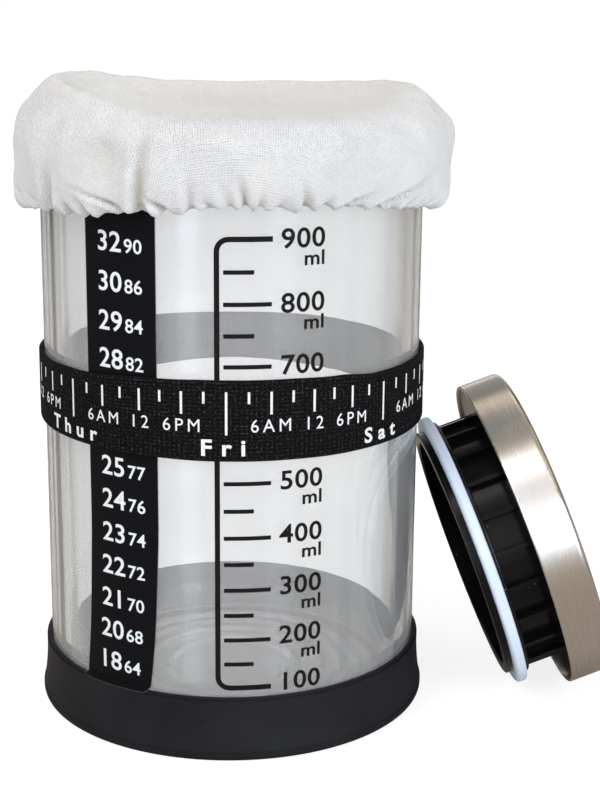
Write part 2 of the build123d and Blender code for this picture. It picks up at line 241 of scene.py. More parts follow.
class SurfaceEffects:
    """Shader groups that more than one finish uses, each built once."""

    SCRATCH_STRETCH = (1.0, 1.0, 9.0)
    SCRATCH_TURN = (0.3, 0.2, 0.0)
    SCRATCHED: Span = (0.56, 0.74)
    SPECK_SCALE = 700.0
    SPECK_RADIUS = 0.16
    SPECK_RARITY = 0.965
    WANDER_SCALE = 260.0
    HOLE_DEPTHS: Span = (-0.75, -0.1)
    HOLE_CHANCES: Span = (0.15, 0.85)

    _built: dict[str, bpy.types.NodeTree] = {}

    @classmethod
    def _new(cls, name: str, inputs: dict[str, float | None],
             outputs: tuple[str, ...]) -> tuple[Graph, bpy.types.NodeOutputs, bpy.types.Node]:
        """Start a group.

        Args:
            name: The group's name.
            inputs: Default of each input number, or None for a vector.
            outputs: Names of the numbers that it puts out.

        Returns:
            Its graph, the sockets of what it is given, and its output node.
        """
        tree = bpy.data.node_groups.new(name, "ShaderNodeTree")
        for label, default in inputs.items():
            kind = "NodeSocketVector" if default is None else "NodeSocketFloat"
            socket = tree.interface.new_socket(label, in_out="INPUT", socket_type=kind)
            if default is not None:
                socket.default_value = default
        for label in outputs:
            tree.interface.new_socket(label, in_out="OUTPUT", socket_type="NodeSocketFloat")
        cls._built[name] = tree
        return Graph(tree), tree.nodes.new("NodeGroupInput").outputs, tree.nodes.new("NodeGroupOutput")

    @classmethod
    def place(cls, graph: Graph, name: str, **inputs: Number) -> bpy.types.NodeOutputs:
        """Put a group into a material.

        Args:
            graph: The material's graph.
            name: One of fine_grain, thread_weave and handling_wear.
            inputs: Values or sockets for the group's inputs.

        Returns:
            What the group puts out.
        """
        if name not in cls._built:
            getattr(cls, "_build_" + name)()
        node = graph.tree.nodes.new("ShaderNodeGroup")
        node.node_tree = cls._built[name]
        return graph.feed(node, inputs).outputs

    @classmethod
    def _build_fine_grain(cls) -> None:
        """Moulded or cast grain: a soft fine noise over a wider one."""
        graph, given, sink = cls._new("fine_grain", {"Vector": None, "Scale": 900.0, "Spread": 40.0},
                                      ("Grain", "Cloud"))
        graph.feed(sink, {"Grain": graph.noise(given["Vector"], given["Scale"], 3.0, 0.6),
                          "Cloud": graph.noise(given["Vector"], given["Spread"])})

    @classmethod
    def _build_handling_wear(cls) -> None:
        """Fine scuffs and settled dust: short scratches and scattered specks."""
        graph, given, sink = cls._new("handling_wear", {"Vector": None, "Scale": 60.0, "Amount": 0.5},
                                      ("Scuff", "Dust"))
        stretch = graph.add("Mapping", None, {"Vector": given["Vector"], "Scale": cls.SCRATCH_STRETCH,
                                              "Rotation": cls.SCRATCH_TURN}).outputs[0]
        scratches = graph.spread(graph.noise(stretch, given["Scale"], 4.0, 0.7), *cls.SCRATCHED, 0.0, 1.0)
        specks = graph.add("TexVoronoi", {"feature": "F1"}, {"Vector": given["Vector"],
                                                            "Scale": cls.SPECK_SCALE, "Randomness": 1.0})
        small = graph.math("LESS_THAN", specks.outputs["Distance"], cls.SPECK_RADIUS)
        tone = graph.add("SeparateColor", None, {0: specks.outputs["Color"]}).outputs[0]
        chosen = graph.math("GREATER_THAN", tone, cls.SPECK_RARITY)
        dust = graph.math("MULTIPLY", small, chosen)
        graph.feed(sink, {"Scuff": graph.math("MULTIPLY", scratches, given["Amount"]),
                          "Dust": graph.math("MULTIPLY", dust, given["Amount"])})

    @classmethod
    def _build_thread_weave(cls) -> None:
        """Plain weave on a flat map in metres: crossing threads and open holes of uneven size."""
        graph, given, sink = cls._new("thread_weave", {"Vector": None, "Across": 0.0005, "Along": 0.0005,
                                                       "Wander": 0.0001}, ("Height", "Hole"))
        wander = graph.add("TexNoise", None, {"Vector": given["Vector"], "Scale": cls.WANDER_SCALE,
                                              "Detail": 1.0})
        centred = graph.vector("SUBTRACT", wander.outputs["Color"], (0.5, 0.5, 0.5))
        moved = graph.vector("ADD", given["Vector"], graph.vector("SCALE", centred, given["Wander"]))
        parts = graph.add("SeparateXYZ", None, {0: moved}).outputs
        counts = [graph.math("DIVIDE", part, given[size]) for part, size in zip(parts, ("Across", "Along"))]
        height = graph.math("MAXIMUM", *(graph.math("COSINE", graph.math("MULTIPLY", count, TURN))
                                         for count in counts))
        cell = graph.add("CombineXYZ", None, {axis: graph.math("ROUND", graph.math("SUBTRACT", count, 0.5))
                                              for axis, count in enumerate(counts)})
        chance = graph.add("TexWhiteNoise", {"noise_dimensions": "2D"}, {"Vector": cell.outputs[0]})
        gap = graph.spread(height, *cls.HOLE_DEPTHS, 1.0, 0.0)
        size = graph.spread(chance.outputs["Value"], *cls.HOLE_CHANCES, 0.0, 1.0)
        graph.feed(sink, {"Height": graph.spread(height, -1.0, 1.0, 0.0, 1.0),
                          "Hole": graph.math("MULTIPLY", gap, size)})


def new_material(name: str) -> tuple[bpy.types.Material, Graph, bpy.types.Node]:
    """Make a material with one Principled shader.

    Args:
        name: The finish's name.

    Returns:
        The material, its graph and the shader.
    """
    material = bpy.data.materials.new(name)
    material.use_nodes = True
    return material, Graph(material.node_tree), material.node_tree.nodes["Principled BSDF"]


def show_surface(material: bpy.types.Material, graph: Graph, surface: bpy.types.Node) -> None:
    """Make a shader the one that the material shows.

    Args:
        material: The material.
        graph: The graph of its nodes.
        surface: The shader.
    """
    graph.feed(material.node_tree.nodes["Material Output"], {"Surface": surface.outputs[0]})


# Finishes


@dataclass(frozen=True)
class MattSilicone:
    """Dark moulded silicone that holds a little dust."""

    name: str = "matt_silicone"
    colour: Colour = (0.0085, 0.009, 0.012)
    rubbed: Colour = (0.018, 0.019, 0.023)
    dust: Colour = (0.20, 0.20, 0.20)
    roughness: Span = (0.50, 0.62)
    gloss: float = 0.2
    wear: float = 0.1
    grain_depth: float = 0.03 * MM

    def build(self) -> bpy.types.Material:
        """Build the material."""
        material, graph, shader = new_material(self.name)
        place = graph.object_place()
        grain = SurfaceEffects.place(graph, "fine_grain", Vector=place, Scale=1500.0, Spread=45.0)
        wear = SurfaceEffects.place(graph, "handling_wear", Vector=place, Scale=70.0, Amount=self.wear)
        base = graph.blend(graph.spread(grain["Cloud"], 0.35, 0.7, 0.0, 0.6), self.colour, self.rubbed)
        worn = graph.blend(graph.math("MULTIPLY", wear["Scuff"], 0.5), base, self.rubbed)
        graph.feed(shader, {
            "Base Color": graph.blend(wear["Dust"], worn, self.dust), "IOR": 1.42,
            "Specular IOR Level": self.gloss, "Roughness": graph.uneven(grain["Cloud"], self.roughness),
            "Normal": graph.bump(grain["Grain"], self.grain_depth)})
        return material


@dataclass(frozen=True)
class ClearGlass:
    """Thick clear glass with faint upright drawing lines, under a pale diffuse veil that is a painted
    reflection of the bright room.
    """

    name: str = "clear_glass"
    tint: Colour = (0.93, 0.935, 0.94)
    shadow_tint: Colour = (0.93, 0.94, 0.94)
    # The share that is not clear is a pale diffuse veil: a painted reflection of the bright room
    clearness: float = 0.89
    smeared: Span = (0.0, 0.025)
    line_stretch: float = 0.04
    wave_depth: float = 0.06 * MM

    def build(self) -> bpy.types.Material:
        """Build the material, which lets lamplight through to what stands behind it."""
        material, graph, shader = new_material(self.name)
        place = graph.object_place()
        stretched = {"Vector": place, "Scale": (1.0, 1.0, self.line_stretch)}
        drawn = graph.add("Mapping", None, stretched).outputs[0]
        smear = graph.noise(place, 30.0, 3.0)
        # Transmission Weight below 1 leaves the pale diffuse veil, a painted reflection
        graph.feed(shader, {
            "Base Color": self.tint, "IOR": 1.5, "Transmission Weight": self.clearness,
            "Roughness": graph.spread(smear, 0.35, 0.75, *self.smeared),
            "Normal": graph.bump(graph.noise(drawn, 110.0), self.wave_depth)})
        clear = graph.add("BsdfTransparent", None, {"Color": self.shadow_tint})
        lit_through = graph.add("LightPath").outputs["Is Shadow Ray"]
        show_surface(material, graph, graph.mixed_surface(lit_through, shader, clear))
        return material


@dataclass(frozen=True)
class LaminatedFilm:
    """Black label film under a clear laminate."""

    name: str = "laminated_film"
    colour: Colour = (0.0045, 0.0045, 0.0062)
    scuffed: Colour = (0.20, 0.20, 0.20)
    roughness: Span = (0.30, 0.42)
    gloss: float = 0.08
    wave_depth: float = 0.03 * MM

    def build(self) -> bpy.types.Material:
        """Build the material."""
        material, graph, shader = new_material(self.name)
        place = graph.object_place()
        grain = SurfaceEffects.place(graph, "fine_grain", Vector=place, Scale=420.0, Spread=60.0)
        wear = SurfaceEffects.place(graph, "handling_wear", Vector=place, Scale=120.0, Amount=0.25)
        scuff = graph.math("MULTIPLY", wear["Scuff"], 0.04)
        graph.feed(shader, {
            "Base Color": graph.blend(scuff, self.colour, self.scuffed), "Specular IOR Level": self.gloss,
            "Roughness": graph.uneven(grain["Cloud"], self.roughness),
            "Normal": graph.bump(grain["Cloud"], self.wave_depth)})
        return material


@dataclass(frozen=True)
class PrintedInk:
    """Flat opaque print, a little broken where it lies on cloth."""

    name: str
    colour: Colour
    worn: Colour
    roughness: float = 0.45
    speckle: float = 0.0
    gloss: float = 0.12
    grain_depth: float = 0.01 * MM

    def build(self) -> bpy.types.Material:
        """Build the material."""
        material, graph, shader = new_material(self.name)
        grain = SurfaceEffects.place(graph, "fine_grain", Vector=graph.object_place(), Scale=1500.0,
                                     Spread=250.0)
        broken = graph.spread(grain["Grain"], 0.56, 0.72, 0.0, self.speckle)
        graph.feed(shader, {
            "Base Color": graph.blend(broken, self.colour, self.worn), "Specular IOR Level": self.gloss,
            "Roughness": graph.uneven(grain["Cloud"], (self.roughness, self.roughness + 0.1)),
            "Normal": graph.bump(grain["Grain"], self.grain_depth)})
        return material


@dataclass(frozen=True)
class WovenElastic:
    """Flat knitted elastic: rows of small stitches, mapped in metres round the band."""

    name: str = "woven_elastic"
    thread: Colour = (0.004, 0.004, 0.0045)
    # Painted glint on the raised thread tops
    glint: Colour = (0.05, 0.05, 0.054)
    gap: Colour = (0.001, 0.001, 0.001)
    roughness: Span = (0.6, 0.8)
    gloss: float = 0.06
    stitch_width: float = 1.3 * MM
    stitch_height: float = 0.95 * MM
    wander: float = 0.35 * MM
    depth: float = 0.16 * MM

    def build(self) -> bpy.types.Material:
        """Build the material."""
        material, graph, shader = new_material(self.name)
        place = graph.add("UVMap", {"uv_map": "Length"}).outputs[0]
        weave = SurfaceEffects.place(graph, "thread_weave", Vector=place, Across=self.stitch_width,
                                     Along=self.stitch_height, Wander=self.wander)
        fuzz = graph.noise(place, 1700.0)
        # A painted glint on the raised thread tops, and a darker tone where the threads sink
        lit = graph.math("MULTIPLY", graph.spread(weave["Height"], 0.6, 1.0, 0.0, 1.0),
                         graph.spread(fuzz, 0.52, 0.68, 0.0, 1.0))
        sunk = graph.spread(weave["Height"], 0.0, 0.45, 1.0, 0.0)
        height = graph.math("ADD", weave["Height"], graph.math("MULTIPLY", fuzz, 0.5))
        graph.feed(shader, {
            "Base Color": graph.blend(sunk, graph.blend(lit, self.thread, self.glint), self.gap),
            "Roughness": graph.uneven(fuzz, self.roughness), "Specular IOR Level": self.gloss,
            "Normal": graph.bump(height, self.depth)})
        return material


@dataclass(frozen=True)
class Muslin:
    """Loose unbleached muslin: fine uneven threads with pinholes, mapped in metres on the flat cloth."""

    name: str = "muslin"
    cloth: Colour = (0.735, 0.735, 0.745)
    # Warmer tone: painted warm top light on the flat top, and random patches of uneven colour elsewhere
    cream: Colour = (0.79, 0.77, 0.725)
    # Painted shade in the folds and the dent
    deep: Colour = (0.56, 0.52, 0.46)
    pinhole: Colour = (0.12, 0.12, 0.14)
    roughness: Span = (0.85, 0.95)
    thread_pitch: float = 0.62 * MM
    wander: float = 0.9 * MM
    depth: float = 0.17 * MM
    slub_stretch: float = 14.0
    slub_height: float = 1.4

    def build(self) -> bpy.types.Material:
        """Build the material: painted warm top light on the flat top, a warmer cream in random patches, open
        where it is stretched, and painted shade in the folds.
        """
        material, graph, shader = new_material(self.name)
        place = graph.add("UVMap", {"uv_map": "Cloth"}).outputs[0]
        weave = SurfaceEffects.place(graph, "thread_weave", Vector=place, Across=self.thread_pitch,
                                     Along=self.thread_pitch, Wander=self.wander)
        reach = graph.vector("LENGTH", place, result="Value")
        patch = graph.noise(place, 28.0, 3.0)
        stretched = {"Vector": place, "Scale": (1.0, self.slub_stretch, 1.0)}
        drawn = graph.add("Mapping", None, stretched).outputs[0]
        # Painted warm top light: the flat top over the mouth turns to the warmer tone, and random patches of
        # the same tone are uneven colour
        top_light_and_patch_mask = graph.math("MAXIMUM", graph.spread(reach, 0.044, 0.050, 0.75, 0.0),
                                graph.spread(patch, 0.45, 0.7, 0.0, 0.45))
        top_light_and_patch_toned = graph.blend(top_light_and_patch_mask, self.cloth, self.cream)
        # Painted shade: the cloth turns a darker beige as far as the mesh's fold share goes
        fold = graph.add("Attribute", {"attribute_name": "FoldShade"}).outputs["Fac"]
        fold_shaded = graph.blend(graph.math("MULTIPLY", fold, 0.6), top_light_and_patch_toned, self.deep)
        stretched = graph.math("MULTIPLY", graph.spread(reach, 0.046, 0.050, 0.3, 1.0),
                               graph.spread(reach, 0.058, 0.070, 1.0, 0.5))
        opened = graph.math("MULTIPLY", stretched, graph.spread(patch, 0.35, 0.6, 1.0, 0.45))
        holes = graph.math("MULTIPLY", weave["Hole"], opened)
        slub = graph.math("MULTIPLY", graph.noise(drawn, 90.0), self.slub_height)
        graph.feed(shader, {
            "Base Color": graph.blend(holes, fold_shaded, self.pinhole),
            "Roughness": graph.uneven(patch, self.roughness), "Sheen Weight": 0.15, "Sheen Roughness": 0.6,
            "Normal": graph.bump(graph.math("ADD", weave["Height"], slub), self.depth)})
        return material


@dataclass(frozen=True)
class BrushedSteel:
    """Steel brushed round the lid's axis, so that its shine runs across the brushing."""

    axis_point: Vector
    axis: Vector
    name: str = "brushed_steel"
    colour: Colour = (0.63, 0.60, 0.57)
    dull: Colour = (0.50, 0.47, 0.44)
    roughness: Span = (0.22, 0.30)
    line_spread: float = 6.0
    line_length: float = 0.02
    line_depth: float = 0.005 * MM

    def build(self) -> bpy.types.Material:
        """Build the material."""
        material, graph, shader = new_material(self.name)
        place = graph.object_place()
        axis = tuple(self.axis)
        offset = graph.vector("SUBTRACT", place, self.axis_point)
        round_lid = graph.vector("CROSS_PRODUCT", axis, offset)
        reach = graph.vector("LENGTH", round_lid, result="Value")
        height = graph.vector("DOT_PRODUCT", offset, axis, result="Value")
        spread = [graph.math("MULTIPLY", part, self.line_spread) for part in (reach, height)]
        track = graph.add("CombineXYZ", None, dict(enumerate(spread))).outputs[0]
        swirl = graph.vector("ADD", graph.vector("SCALE", place, self.line_length), track)
        lines = graph.noise(swirl, 700.0, 4.0, 0.65)
        wear = SurfaceEffects.place(graph, "handling_wear", Vector=place, Scale=40.0, Amount=0.35)
        toned = graph.blend(graph.spread(lines, 0.35, 0.7, 0.0, 0.5), self.colour, self.dull)
        scuff = graph.math("MULTIPLY", wear["Scuff"], 0.3)
        graph.feed(shader, {
            "Base Color": graph.blend(scuff, toned, self.dull), "Metallic": 1.0,
            "Anisotropic": 0.8, "Anisotropic Rotation": 0.25, "Tangent": graph.vector("NORMALIZE", round_lid),
            "Roughness": graph.uneven(lines, self.roughness),
            "Normal": graph.bump(lines, self.line_depth)})
        return material


@dataclass(frozen=True)
class MouldedPlastic:
    """Black moulded plastic with a soft polish."""

    name: str = "moulded_plastic"
    colour: Colour = (0.006, 0.006, 0.007)
    scuffed: Colour = (0.03, 0.03, 0.032)
    dust: Colour = (0.3, 0.3, 0.3)
    roughness: Span = (0.14, 0.22)
    gloss: float = 0.16
    grain_depth: float = 0.01 * MM

    def build(self) -> bpy.types.Material:
        """Build the material."""
        material, graph, shader = new_material(self.name)
        place = graph.object_place()
        grain = SurfaceEffects.place(graph, "fine_grain", Vector=place, Scale=800.0, Spread=80.0)
        wear = SurfaceEffects.place(graph, "handling_wear", Vector=place, Scale=90.0, Amount=0.6)
        worn = graph.blend(graph.math("MULTIPLY", wear["Scuff"], 0.4), self.colour, self.scuffed)
        dusty = graph.blend(graph.math("MULTIPLY", wear["Dust"], 0.6), worn, self.dust)
        graph.feed(shader, {
            "Base Color": dusty, "IOR": 1.5, "Specular IOR Level": self.gloss,
            "Roughness": graph.uneven(grain["Cloud"], self.roughness),
            "Normal": graph.bump(grain["Grain"], self.grain_depth)})
        return material


@dataclass(frozen=True)
class PaleSilicone:
    """Milky silicone of the sealing ring and the elastic in the hem."""

    name: str = "pale_silicone"
    colour: Colour = (0.74, 0.84, 1.0)
    shade: Colour = (0.64, 0.74, 0.92)
    roughness: Span = (0.38, 0.5)
    glow_depths: Colour = (0.9 * MM, 1.0 * MM, 1.2 * MM)
    grain_depth: float = 0.01 * MM

    def build(self) -> bpy.types.Material:
        """Build the material."""
        material, graph, shader = new_material(self.name)
        grain = SurfaceEffects.place(graph, "fine_grain", Vector=graph.object_place(), Scale=1200.0,
                                     Spread=70.0)
        shaded = graph.spread(grain["Cloud"], 0.4, 0.7, 0.0, 1.0)
        graph.feed(shader, {
            "Base Color": graph.blend(shaded, self.colour, self.shade),
            "Subsurface Weight": 0.25, "Subsurface Radius": self.glow_depths, "Subsurface Scale": 1.0,
            "Roughness": graph.uneven(grain["Cloud"], self.roughness),
            "Normal": graph.bump(grain["Grain"], self.grain_depth)})
        return material


# Shaping


def outline(corners: list[Corner], arc_steps: int) -> list[Vector]:
    """Round the corners of an open outline.

    Args:
        corners: Radius, level and corner round of each point, in millimetres.
        arc_steps: Steps in each rounded corner.

    Returns:
        The outline's points in the XZ plane, in metres.
    """
    points: list[Vector] = []
    for index, (across, level, rounding) in enumerate(corners):
        here = Vector((across, 0.0, level))
        if rounding == 0 or index in (0, len(corners) - 1):
            points.append(here * MM)
            continue
        back, ahead = ((Vector((corners[index + step][0], 0, corners[index + step][1])) - here).normalized()
                       for step in (-1, 1))
        half = back.angle(ahead) / 2
        centre = here + (back + ahead).normalized() * rounding / math.sin(half)
        start = here + back * rounding / math.tan(half) - centre
        end = here + ahead * rounding / math.tan(half) - centre
        for step in range(arc_steps + 1):
            arm = start.normalized().slerp(end.normalized(), step / arc_steps)
            points.append((centre + arm * rounding) * MM)
    return points


def catmull(knots: list[Vector], share: float) -> Vector:
    """Point between the second and third of four knots, on a smooth curve through them all."""
    before, start, end, after = knots
    return 0.5 * (2 * start + (end - before) * share + (2 * before - 5 * start + 4 * end - after) * share ** 2
                  + (3 * start - before - 3 * end + after) * share ** 3)


def eased(share: float) -> float:
    """Ease a share from 0 to 1 in and out."""
    return share * share * (3 - 2 * share)


def clamped(share: float) -> float:
    """Keep a share between 0 and 1."""
    return min(1.0, max(0.0, share))


def front_angle(place: Vector) -> float:
    """Degrees of a place round the Z axis from the front, with the right side above 0."""
    return math.degrees(math.atan2(place.x, -place.y))


def around(table: tuple, angle: float, column: int = 1) -> float:
    """Read a value off a closed table, eased between its rows.

    Args:
        table: Rows of an angle in degrees and its values.
        angle: Where to read.
        column: Which value.

    Returns:
        The value there.
    """
    rows = list(table) + [(table[0][0] + 360, *table[0][1:])]
    turned = (angle - rows[0][0]) % 360 + rows[0][0]
    for before, after in zip(rows, rows[1:]):
        if turned <= after[0]:
            share = (turned - before[0]) / (after[0] - before[0])
            return before[column] + (after[column] - before[column]) * eased(share)
    return rows[0][column]


def cut(mesh: bmesh.types.BMesh, point: tuple, normal: tuple) -> None:
    """Cut all faces along a plane.

    Args:
        mesh: The mesh to cut.
        point: A point of the plane, in metres.
        normal: The direction that the plane faces.
    """
    bmesh.ops.bisect_plane(mesh, geom=mesh.verts[:] + mesh.edges[:] + mesh.faces[:], dist=CUT_REACH,
                           plane_co=point, plane_no=normal)


def raise_sheet(mesh: bmesh.types.BMesh, thickness: float) -> None:
    """Give a flat sheet a second face straight above it, and close its edge."""
    grown = bmesh.ops.extrude_face_region(mesh, geom=mesh.faces[:], use_keep_orig=True)
    raised = [item for item in grown["geom"] if isinstance(item, bmesh.types.BMVert)]
    bmesh.ops.translate(mesh, verts=raised, vec=(0, 0, thickness))


def thicken(mesh: bmesh.types.BMesh, depth: float) -> None:
    """Give an open sheet a second face, a depth off along its normals, and close its edge."""
    mesh.normal_update()
    shift = mesh.verts.layers.float_vector.new("shift")
    for vert in mesh.verts:
        vert[shift] = vert.normal * depth
    grown = bmesh.ops.extrude_face_region(mesh, geom=mesh.faces[:], use_keep_orig=True)
    for item in grown["geom"]:
        if isinstance(item, bmesh.types.BMVert):
            item.co += item[shift]
    mesh.verts.layers.float_vector.remove(shift)
    bmesh.ops.recalc_face_normals(mesh, faces=mesh.faces)


def spin_outline(points: list[Vector], steps: int, angle: float = TURN) -> bmesh.types.BMesh:
    """Turn an outline in the XZ plane round the Z axis.

    Args:
        points: The outline, in metres.
        steps: Faces round a full turn or round the arc.
        angle: How far it turns.

    Returns:
        The spun mesh, with doubles merged and normals outwards.
    """
    mesh = bmesh.new()
    verts = [mesh.verts.new(point) for point in points]
    edges = [mesh.edges.new(pair) for pair in zip(verts, verts[1:])]
    full = math.isclose(abs(angle), TURN)
    bmesh.ops.spin(mesh, geom=verts + edges, cent=(0, 0, 0), axis=(0, 0, 1), dvec=(0, 0, 0), angle=angle,
                   steps=steps, use_merge=full, use_duplicate=False)
    bmesh.ops.remove_doubles(mesh, verts=mesh.verts, dist=1e-7)
    bmesh.ops.recalc_face_normals(mesh, faces=mesh.faces)
    return mesh


def finish_piece(mesh: bmesh.types.BMesh, name: str, material: bpy.types.Material, body: Body,
                 smooth_angle: float = 35.0) -> bpy.types.Object:
    """Make a piece from a mesh and fix it to its body.

    Args:
        mesh: The mesh in its place, which is freed.
        name: The piece's name.
        material: Its finish.
        body: The body that it rides on.
        smooth_angle: Edges that turn more than this many degrees stay sharp.

    Returns:
        The piece.
    """
    data = bpy.data.meshes.new(name)
    mesh.to_mesh(data)
    mesh.free()
    data.materials.append(material)
    data.shade_smooth()
    data.set_sharp_from_angle(angle=math.radians(smooth_angle))
    piece = bpy.data.objects.new(name, data)
    bpy.context.scene.collection.objects.link(piece)
    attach(piece, body.value)
    log.info("%s: %d faces on %s", name, len(data.polygons), body.value)
    return piece


def dress(node: str, material: bpy.types.Material) -> None:
    """Give a carried-over node its finish."""
    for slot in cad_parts[node].material_slots:
        slot.material = material
    log.info("%s: dressed in %s", node, material.name)


def wrap_round(mesh: bmesh.types.BMesh, radius: float) -> None:
    """Bend a flat mesh round the jar: X becomes a length round the front and Z a height off the radius."""
    for vert in mesh.verts:
        angle = vert.co.x / radius
        reach = radius + vert.co.z
        vert.co = Vector((reach * math.sin(angle), -reach * math.cos(angle), vert.co.y))


@dataclass
class Print:
    """Flat lettering and marks that are gathered in one mesh, then bent round the jar as one piece.

    Angles are in degrees from the front, levels and heights in millimetres.
    """

    radius: float
    boldness: float
    thickness: float = 0.03
    column_width: float = 1.2
    curve_steps: int = 4
    flat: bmesh.types.BMesh = field(default_factory=bmesh.new)

    def across(self, angle: float) -> float:
        """Distance round the jar at an angle, in millimetres."""
        return math.radians(angle) * self.radius

    def bar(self, angle: float, end_angle: float, bottom: float, top: float) -> None:
        """Add an upright rectangle between two angles and two levels.

        Args:
            angle: Its left edge.
            end_angle: Its right edge.
            bottom: Level of its lower edge.
            top: Level of its upper edge.
        """
        left, right = self.across(angle) * MM, self.across(end_angle) * MM
        low, high = bottom * MM, top * MM
        centre = Matrix.Translation(((left + right) / 2, (low + high) / 2, 0))
        place = centre @ Matrix.Diagonal((right - left, high - low, 1, 1))
        bmesh.ops.create_grid(self.flat, x_segments=1, y_segments=1, size=0.5, matrix=place)

    def tick(self, angle: float, bottom: float, top: float, width: float) -> None:
        """Add an upright tick of a width in millimetres, centred on an angle.

        Args:
            angle: Its middle.
            bottom: Level of its lower end.
            top: Level of its upper end.
            width: Its width in millimetres.
        """
        half = math.degrees(width / 2 / self.radius)
        self.bar(angle - half, angle + half, bottom, top)

    def text(self, words: str, angle: float, bottom: float, height: float, align: Align = Align.CENTRE,
             spacing: float = 1.0, stretch: float = 1.0, boldness: float | None = None) -> None:
        """Add a line of lettering.

        Args:
            words: What it says.
            angle: Where it is aligned.
            bottom: Level of its baseline.
            height: Height of a capital or a figure.
            align: Side or middle that stands at the angle.
            spacing: Letter spacing, with 1 as the font has it.
            stretch: Width against the font's own.
            boldness: How far its strokes are widened, or None for the print's own.
        """
        curve = bpy.data.curves.new("lettering", "FONT")
        curve.body = words
        curve.align_x = align.value
        curve.space_character = spacing
        curve.offset = self.boldness if boldness is None else boldness
        curve.resolution_u = self.curve_steps
        holder = bpy.data.objects.new("lettering", curve)
        bpy.context.scene.collection.objects.link(holder)
        data = bpy.data.meshes.new_from_object(holder.evaluated_get(bpy.context.evaluated_depsgraph_get()))
        scale = height * MM / FIGURE_HEIGHT
        place = Matrix.Translation((self.across(angle) * MM, bottom * MM, 0))
        data.transform(place @ Matrix.Diagonal((scale * stretch, scale, 1, 1)))
        self.flat.from_mesh(data)
        bpy.data.objects.remove(holder)
        bpy.data.curves.remove(curve)
        bpy.data.meshes.remove(data)

    def piece(self, name: str, material: bpy.types.Material, body: Body) -> bpy.types.Object:
        """Cut the print in narrow columns, thicken it and bend it round the jar.

        Args:
            name: The piece's name.
            material: Its ink.
            body: The body that it rides on.

        Returns:
            The print's object.
        """
        low = min(vert.co.x for vert in self.flat.verts)
        high = max(vert.co.x for vert in self.flat.verts)
        width = self.column_width * MM
        for column in range(1, int((high - low) / width) + 1):
            cut(self.flat, (low + column * width, 0, 0), (1, 0, 0))
        bmesh.ops.recalc_face_normals(self.flat, faces=self.flat.faces)
        for face in self.flat.faces:
            if face.normal.z < 0:
                face.normal_flip()
        raise_sheet(self.flat, self.thickness * MM)
        bmesh.ops.recalc_face_normals(self.flat, faces=self.flat.faces)
        wrap_round(self.flat, self.radius * MM)
        return finish_piece(self.flat, name, material, body)


# The object's sub-assemblies


@dataclass
class Boot:
    """The silicone boot, carried over from the frame."""

    def build(self) -> None:
        """Dress the boot."""
        dress("silicone_boot", MattSilicone().build())


